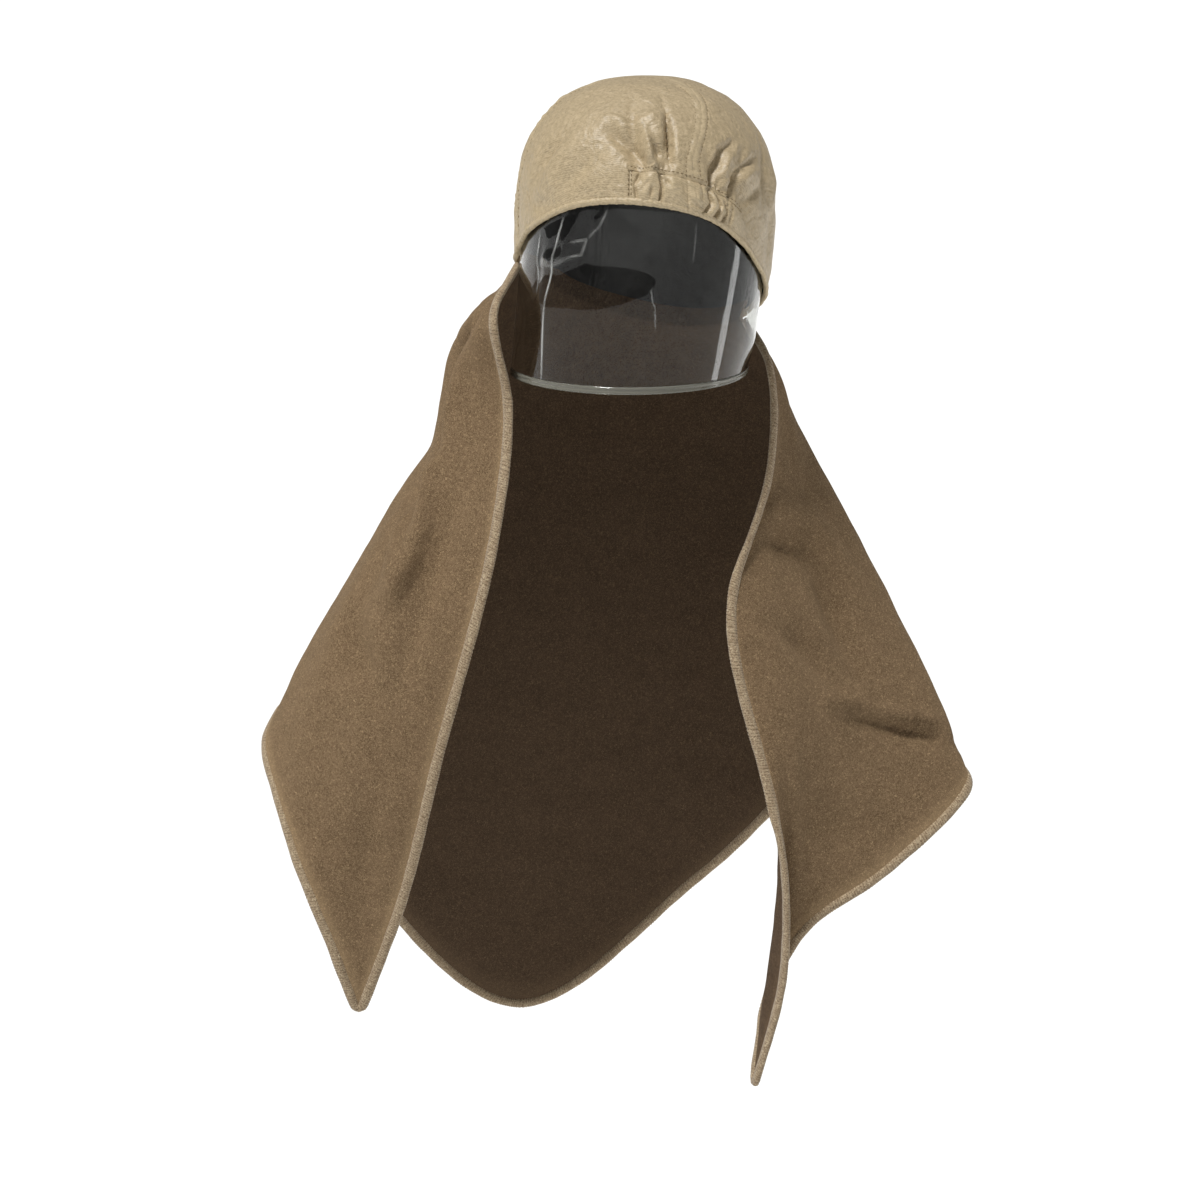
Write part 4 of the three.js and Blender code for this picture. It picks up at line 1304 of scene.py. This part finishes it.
@dataclass
class WoolDrape:
    """The neck drape: one cloth from the left front edge round the back to the right one."""

    form: CapForm
    wall: float = 2.4
    reach: float = 300.0
    depth: float = 150.0
    drop: float = 620.0
    tuck: float = 9.0
    lip: float = 5.0
    binding: float = 7.2
    tuck_rows: int = 8
    level_steps: int = 17
    section_steps: int = 16
    fold_gain: float = 1.5  # the finished folds are this much deeper than their table
    flat: tuple[float, float] = (1.15, 0.66)  # metres, a rectangle that the cut cloth fits in
    flat_area: float = 0.39  # square metres of the cut cloth
    points: Array = field(init=False)
    normals: Array = field(init=False)

    def __post_init__(self) -> None:
        """Works out the cloth's middle surface and its outward directions."""
        plain = self.middle()
        self.normals = grid_normals(plain)
        self.points = plain + self.normals * self.relief(plain, self.normals)[..., None]
        self.normals = grid_normals(self.points)

    def middle(self) -> Array:
        """The plain sheet: tuck rows down the cap's inner face, then curves through the levels of each
        section, lofted across the sections and drawn in at the free edges for the binding.

        Returns:
            Rows by columns of points, in millimetres.
        """
        form = self.form
        inset = -(form.wall + form.clearance + self.wall / 2)
        azimuth = SECTIONS[:, 0]
        lip = form.offset(azimuth, form.edge(azimuth) - self.lip, np.full(len(azimuth), inset))
        foot = -SECTIONS[:, 1] * self.drop
        height = lip[:, 2] + LEVEL_SHARES[:, None] * (foot - lip[:, 2])
        out = SECTIONS[:, 2::2].T * self.reach
        back = SECTIONS[:, 3::2].T * self.depth
        knots = np.concatenate([lip[None], np.stack([out, back, height], -1)])
        down = np.linspace(0, 1, len(LEVEL_SHARES) * self.level_steps + 1)
        across = np.linspace(0, 1, (len(SECTIONS) - 1) * self.section_steps + 1)
        lines = spline(knots, down)
        sheet = spline(lines.transpose(1, 0, 2), across).transpose(1, 0, 2)
        turn = np.interp(across, np.linspace(0, 1, len(azimuth)), azimuth)
        above = np.linspace(self.tuck, -self.lip, self.tuck_rows + 1)[:-1, None]
        depth = np.full((self.tuck_rows, len(turn)), inset)
        tucked = form.offset(turn[None, :], form.edge(turn)[None, :] + above, depth)
        rows = np.concatenate([tucked, sheet])
        narrow = np.stack([self.drawn_in(row, self.binding, self.binding) for row in rows])
        columns = narrow.transpose(1, 0, 2)
        return np.stack([self.drawn_in(column, 0.0, self.binding) for column in columns], 1)

    def drawn_in(self, line: Array, at_start: float, at_end: float) -> Array:
        """A line of points shortened at its ends, its points spaced in the same shares.

        Args:
            line: the points.
            at_start: millimetres taken off its start.
            at_end: millimetres taken off its end.

        Returns:
            As many points on the shorter line.
        """
        reach = np.concatenate([[0], np.cumsum(np.linalg.norm(np.diff(line, axis=0), axis=1))])
        wanted = at_start + reach / reach[-1] * (reach[-1] - at_start - at_end)
        return np.stack([np.interp(wanted, reach, line[:, i]) for i in range(3)], -1)

    def relief(self, points: Array, normals: Array) -> Array:
        """Soft folds and a slight wave.

        Args:
            points: the plain sheet.
            normals: its outward directions.

        Returns:
            Millimetres outwards.
        """
        rows, columns = points.shape[:2]
        free = rows - 1 - self.tuck_rows
        total = 0.5 * ripple(points, 70.0, 4) + 0.25 * ripple(points, 26.0, 9)
        first = self.tuck_rows + (DRAPE_FOLDS[:, 1] * free).astype(int)
        last = self.tuck_rows + (DRAPE_FOLDS[:, 3] * free).astype(int)
        starts = points[first, (DRAPE_FOLDS[:, 0] * self.section_steps).astype(int)]
        ends = points[last, (DRAPE_FOLDS[:, 2] * self.section_steps).astype(int)]
        total = total + self.fold_gain * strokes(points, normals, starts, ends, DRAPE_FOLDS[:, 4:])
        hang = np.clip((np.arange(rows) - self.tuck_rows) / 10, 0, 1)[:, None]
        side = np.minimum(np.arange(columns), np.arange(columns)[::-1])[None, :]
        return total * hang * np.clip(side / 4, 0.2, 1)

    def build(self, cloth: Any, inside: Any) -> list[Any]:
        """Puts in the drape.

        Args:
            cloth: material of the outer face and the cut edges.
            inside: material of the inner face, darker as painted shade of the drape's interior.

        Returns:
            The drape's object in a list.
        """
        half = self.normals * self.wall / 2
        rows, columns = self.points.shape[:2]
        side = np.minimum(np.arange(columns), np.arange(columns)[::-1])[None, :]
        foot = (rows - 1 - np.arange(rows))[:, None]
        wear_and_highlight = np.exp(-((np.minimum(side, foot) / 2.0) ** 2))
        surface = Surface.wall(self.points + half, self.points - half, wear_and_highlight=wear_and_highlight)
        return [put_in("neck_drape", surface, (cloth, inside, cloth), ["wool_drape"])]


@dataclass
class WhippedEdge:
    """The yarn binding round the drape's free edge: down the left front, along the hem, up the right."""

    drape: WoolDrape
    half_width: float = 4.1
    half_thickness: float = 2.8
    seat: float = 3.1
    turn_pitch: float = 2.1
    turn_height: float = 0.45
    step: float = 0.65
    sides: int = 14

    def edge_line(self, grid: Array) -> Array:
        """The free edge of a grid as one line."""
        first = self.drape.tuck_rows + 2
        return np.concatenate([grid[first:-1, 0], grid[-1], grid[first:-1, -1][::-1]])

    @staticmethod
    def smoothed(line: Array) -> Array:
        """A line of vectors averaged over its near neighbours with bell-shaped weights.

        Args:
            line: the vectors.

        Returns:
            As many vectors.
        """
        kernel = np.hanning(13) / np.hanning(13).sum()
        padded = np.pad(line, ((6, 6), (0, 0)), mode="edge")
        return np.stack([np.convolve(padded[:, i], kernel, "valid") for i in range(3)], -1)

    def surface(self) -> Surface:
        """An oval carried along the edge; its radius swells as |sin| of the distance along the edge and
        round the section together, so that the turns of yarn slant. Sines make the turns uneven.

        Returns:
            The binding's closed tube.
        """
        line = self.edge_line(self.drape.points)
        normal = self.edge_line(self.drape.normals)
        reach = np.concatenate([[0], np.cumsum(np.linalg.norm(np.diff(line, axis=0), axis=1))])
        marks = np.arange(0, reach[-1], self.step)
        path = np.stack([np.interp(marks, reach, line[:, i]) for i in range(3)], -1)
        out = unit(np.stack([np.interp(marks, reach, normal[:, i]) for i in range(3)], -1))
        smooth = self.smoothed(path)
        side = unit(self.smoothed(np.cross(unit(np.gradient(smooth, axis=0)), out)))
        within = self.drape.points[self.drape.points.shape[0] // 2, self.drape.section_steps]
        side = side * np.sign(np.dot(side[len(side) // 8], line[len(line) // 8] - within))
        angle = np.linspace(0, TAU, self.sides, endpoint=False)[None, :]
        uneven = marks + 0.7 * np.sin(marks / 4.3) + 0.5 * np.sin(marks / 2.7 + 1.3)
        uneven = uneven + 0.9 * np.sin(marks / 11.0)
        twist = uneven[:, None] + self.turn_pitch * 1.1 * angle / np.pi
        loose = (0.65 + 0.35 * np.sin(marks / 7.9))[:, None] * self.turn_height / self.half_thickness
        swell = 1 + loose * (np.abs(np.sin(np.pi * twist / self.turn_pitch)) - 0.6)
        swell = swell + 0.05 * np.sin(marks[:, None] / 17.0) * np.sin(marks[:, None] / 6.1)
        x = np.cos(angle) * self.half_width * swell
        y = np.sin(angle) * self.half_thickness * swell
        centre = smooth + side * self.seat
        rings = centre[:, None] + x[..., None] * side[:, None] + y[..., None] * out[:, None]
        uv = np.stack(np.broadcast_arrays(twist, angle * 3.0), -1)
        return Surface.tube(rings, uv=uv)

    def build(self, yarn: Any) -> list[Any]:
        """Puts in the binding."""
        return [put_in("whipped_edge", self.surface(), (yarn,), ["edge_binding"])]


@dataclass
class FaceVisor:
    """The clear sheet under the front of the cap, and the bead that finishes its rim."""

    form: CapForm
    wall: float = 1.0
    width: float = 180.0
    depth: float = 105.0
    rim: float = -64.0
    centre: float = -13.0
    start: float = -80.0
    end: float = 102.0
    tuck: float = 14.0
    lip: float = 5.0
    casing_wall: float = 3.0
    rim_height: float = 4.6
    rim_thickness: float = 3.2
    columns: int = 380
    tuck_rows: int = 8
    rows: int = 84
    flat: tuple[float, float] = (250.0, 105.0)  # sheet below the lip, rolled out flat
    tuck_share: float = 2 / 7

    def shares(self) -> tuple[Array, Array]:
        """Places of the sheet's grid as shares of its width and of its way down from the hidden top edge.

        Returns:
            The shares across, as a row, and down, as a column.
        """
        tucked = np.linspace(0, self.tuck_share, self.tuck_rows, endpoint=False)
        down = np.concatenate([tucked, np.linspace(self.tuck_share, 1, self.rows)])
        return np.linspace(0, 1, self.columns)[None, :], down[:, None]

    def middle(self) -> Array:
        """The sheet: down the cap's inner face to the lip, then straight lines to a level oval rim, with
        bell-shaped dents and creases that fade at both ends.

        Returns:
            Rows by columns of points, in millimetres.
        """
        form = self.form
        inset = -(self.casing_wall + 2 * form.clearance + self.wall / 2)
        across, down = self.shares()
        azimuth = self.start + (self.end - self.start) * across
        tucked = np.minimum(1, down / self.tuck_share)
        fall = np.maximum(0, (down - self.tuck_share) / (1 - self.tuck_share))
        height = form.edge(azimuth) + self.tuck - tucked * (self.tuck + self.lip)
        upper = form.offset(azimuth + 0 * down, height, np.full_like(height, inset))
        angle = np.radians(azimuth) + 0 * down
        rim = np.stack([
            self.centre + self.width / 2 * np.sin(angle),
            -self.depth * np.cos(angle),
            self.rim + 0 * angle,
        ], -1)
        points = upper + (rim - upper) * fall[..., None]
        out = np.stack([np.sin(angle), -np.cos(angle), 0 * angle], -1)
        dent = np.zeros_like(angle)
        for at, level, wide, high, deep in VISOR_DENTS:
            away = ((across - at) / wide) ** 2 + ((fall - level) / high) ** 2
            dent += deep * self.depth * np.exp(-away)
        dent += self.lines(across, fall, VISOR_CREASES)
        return points + out * (dent * np.sin(np.pi * fall))[..., None]

    def lines(self, across: Array, fall: Array, table: Array) -> Array:
        """Height of a table's lines on the sheet laid flat.

        Args:
            across: shares across the sheet.
            fall: shares of the way from the lip to the rim.
            table: rows of from and to, half width, height and gentle side.

        Returns:
            The sum of the lines at each place.
        """
        flat = np.diag(self.flat) @ np.eye(2, 3)
        points = np.stack(np.broadcast_arrays(across, fall), -1) @ flat
        up = np.array([0.0, 0.0, 1.0])
        return strokes(points, up, table[:, :2] @ flat, table[:, 2:4] @ flat, table[:, 4:])

    def sheet(self, middle: Array) -> Surface:
        """The sheet's closed wall about its middle surface, with painted highlight lines drawn as whitened
        vinyl.

        Args:
            middle: the middle surface's points.

        Returns:
            The wall.
        """
        half = grid_normals(middle) * self.wall / 2
        across, down = self.shares()
        fall = np.maximum(0, (down - self.tuck_share) / (1 - self.tuck_share))
        # the visor's wear_and_highlight values are painted highlight lines only
        wear_and_highlight = self.lines(across, fall, np.pad(VISOR_PAINTED_HIGHLIGHTS, ((0, 0), (0, 1))))
        return Surface.wall(middle + half, middle - half, wear_and_highlight=np.clip(wear_and_highlight * (fall > 0), 0, 1))

    def bead(self, middle: Array) -> Surface:
        """The rim: an oval, thinned at half its height into two ribs, carried along the lower edge.

        Args:
            middle: the sheet's middle surface.

        Returns:
            The rim's closed tube.
        """
        edge = middle[-1]
        down = unit(middle[-1] - middle[-2])
        out = grid_normals(middle)[-1]
        angle = np.linspace(0, TAU, 24, endpoint=False)[None, :]
        ribs = 1 - 0.62 * np.exp(-((np.cos(angle) / 0.36) ** 2))
        x = np.cos(angle) * self.rim_height * 0.62
        y = np.sin(angle) * self.rim_thickness / 2 * ribs
        centre = edge + down * (self.rim_height * 0.5)
        return Surface.tube(centre[:, None] + x[..., None] * down[:, None] + y[..., None] * out[:, None])

    def build(self, vinyl: Any, bead: Any) -> list[Any]:
        """Puts in the sheet and its rim.

        Args:
            vinyl: the sheet's material.
            bead: the rim's material.

        Returns:
            The two objects.
        """
        middle = self.middle()
        return [
            put_in("visor_sheet", self.sheet(middle), (vinyl,), ["clear_visor"]),
            put_in("visor_rim", self.bead(middle), (bead,), ["visor_binding"]),
        ]


@dataclass
class Studio:
    """The pale floor, the soft lights and the camera at the photograph's angle, in metres."""

    floor_height: float = -1.6
    floor_half: float = 400.0
    lens: float = 73.08
    camera: tuple[float, float, float] = (-0.035, -1.8352, 0.2418)
    pitch: float = 75.0
    panel_spread: float = 13.0
    panel_strength: float = 3.5
    panel_way: tuple[float, float, float] = (0.36, 0.36, -1.0)
    world_strength: float = 0.2

    def floor(self) -> None:
        """Lays a plain pale floor."""
        h = self.floor_half
        outline = [(-h, -h), (h, -h), (h, h), (-h, h)]
        mesh = bpy.data.meshes.new("floor")
        mesh.from_pydata([(x, y, self.floor_height) for x, y in outline], [], [(0, 1, 2, 3)])
        material, _, shader = blank("matt_white_floor")
        shader.inputs["Base Color"].default_value = linear("#f7f7f6")
        shader.inputs["Roughness"].default_value = 1.0
        shader.inputs["Specular IOR Level"].default_value = 0.0
        mesh.materials.append(material)
        floor = bpy.data.objects.new("floor", mesh)
        bpy.context.scene.collection.objects.link(floor)

    def light(
        self,
        name: str,
        place: tuple[float, float, float],
        aim: tuple[float, float, float],
        size: tuple[float, float],
        power: float,
    ) -> None:
        """Adds one oblong soft light.

        Args:
            name: the light's name.
            place: where it stands.
            aim: what it points at.
            size: its width and height.
            power: its power in watts.
        """
        data = bpy.data.lights.new(name, "AREA")
        data.shape = "RECTANGLE"
        data.size, data.size_y = size
        data.energy = power
        lamp = bpy.data.objects.new(name, data)
        lamp.location = place
        lamp.visible_camera = False
        way = Vector(aim) - Vector(place)
        lamp.rotation_euler = way.to_track_quat("-Z", "Y").to_euler()
        bpy.context.scene.collection.objects.link(lamp)

    def sky_panel(self) -> None:
        """Adds the main light: a wide soft one from high up in front, a little to the left."""
        data = bpy.data.lights.new("sky_panel", "SUN")
        data.angle = np.radians(self.panel_spread)
        data.energy = self.panel_strength
        lamp = bpy.data.objects.new("sky_panel", data)
        way = Vector(self.panel_way)
        lamp.rotation_euler = way.to_track_quat("-Z", "Y").to_euler()
        bpy.context.scene.collection.objects.link(lamp)

    def build(self) -> None:
        """Sets up the floor, the lights, a dim white world and the camera."""
        self.floor()
        self.sky_panel()
        self.light("right_strip", (2.1, 0.25, -0.3), (0.0, 0.0, -0.1), (0.3, 1.0), 5.0)
        world = bpy.data.worlds.new("studio")
        world.use_nodes = True
        background = world.node_tree.nodes["Background"]
        background.inputs["Color"].default_value = (1.0, 1.0, 1.0, 1.0)
        background.inputs["Strength"].default_value = self.world_strength
        scene = bpy.context.scene
        scene.world = world
        data = bpy.data.cameras.new("camera")
        data.lens = self.lens
        camera = bpy.data.objects.new("camera", data)
        camera.location = self.camera
        camera.rotation_euler = (np.radians(self.pitch), 0.0, 0.0)
        scene.collection.objects.link(camera)
        scene.camera = camera
        scene.view_settings.view_transform = "Standard"


def main() -> None:
    """Builds the studio and the hat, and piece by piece."""
    logging.basicConfig(level=logging.INFO, format="%(name)s %(message)s")
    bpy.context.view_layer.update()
    Studio().build()
    cloth = SateenCotton("cotton_sateen", "#ae9b7c", "#918063", "#cdbb98").make()
    # near-black inner face of the cap: painted shade of its interior, not the khaki cloth's colour
    inside = SateenCotton("cotton_inside_painted_shade", "#151312", "#110f0e", "#1c1a18", sheen=0.0, relief=0.2).make()
    flannel = WoolFlannel("brushed_wool_flannel", "#6d5842", "#594733", "#b29874").make()
    # darker inner face of the drape: painted shade of the interior between the tails
    shaded_flannel = WoolFlannel("wool_flannel_painted_shade", "#4a3a2c", "#3c2f23", "#75614b", sheen=0.1, relief=0.3)
    yarn = WhippedYarn("whipped_wool_yarn", "#8d7960", "#57452f", "#c6b496").make()
    vinyl = ClearVinyl("clear_vinyl").make()
    bead = ClearVinyl("vinyl_bead", colour="#9b998d", roughness=0.08, clearness=0.6, index=1.4).make()
    thread = SpunThread("spun_thread", "#95825f", "#5d4e36").make()
    form = CapForm()
    panels = Crown(form).build(cloth, inside)
    pieces = panels + FrontCasing(form).build(cloth, inside)
    pieces += CapHem(form).build(cloth)
    pieces += Stitching(form).build(thread)
    drape = WoolDrape(form)
    drape_piece = drape.build(flannel, shaded_flannel.make())[0]
    edge = WhippedEdge(drape).build(yarn)[0]
    pieces += [drape_piece, edge] + FaceVisor(form).build(vinyl, bead)
    log.info("%d pieces", len(pieces))


if __name__ == "__main__":
    main()
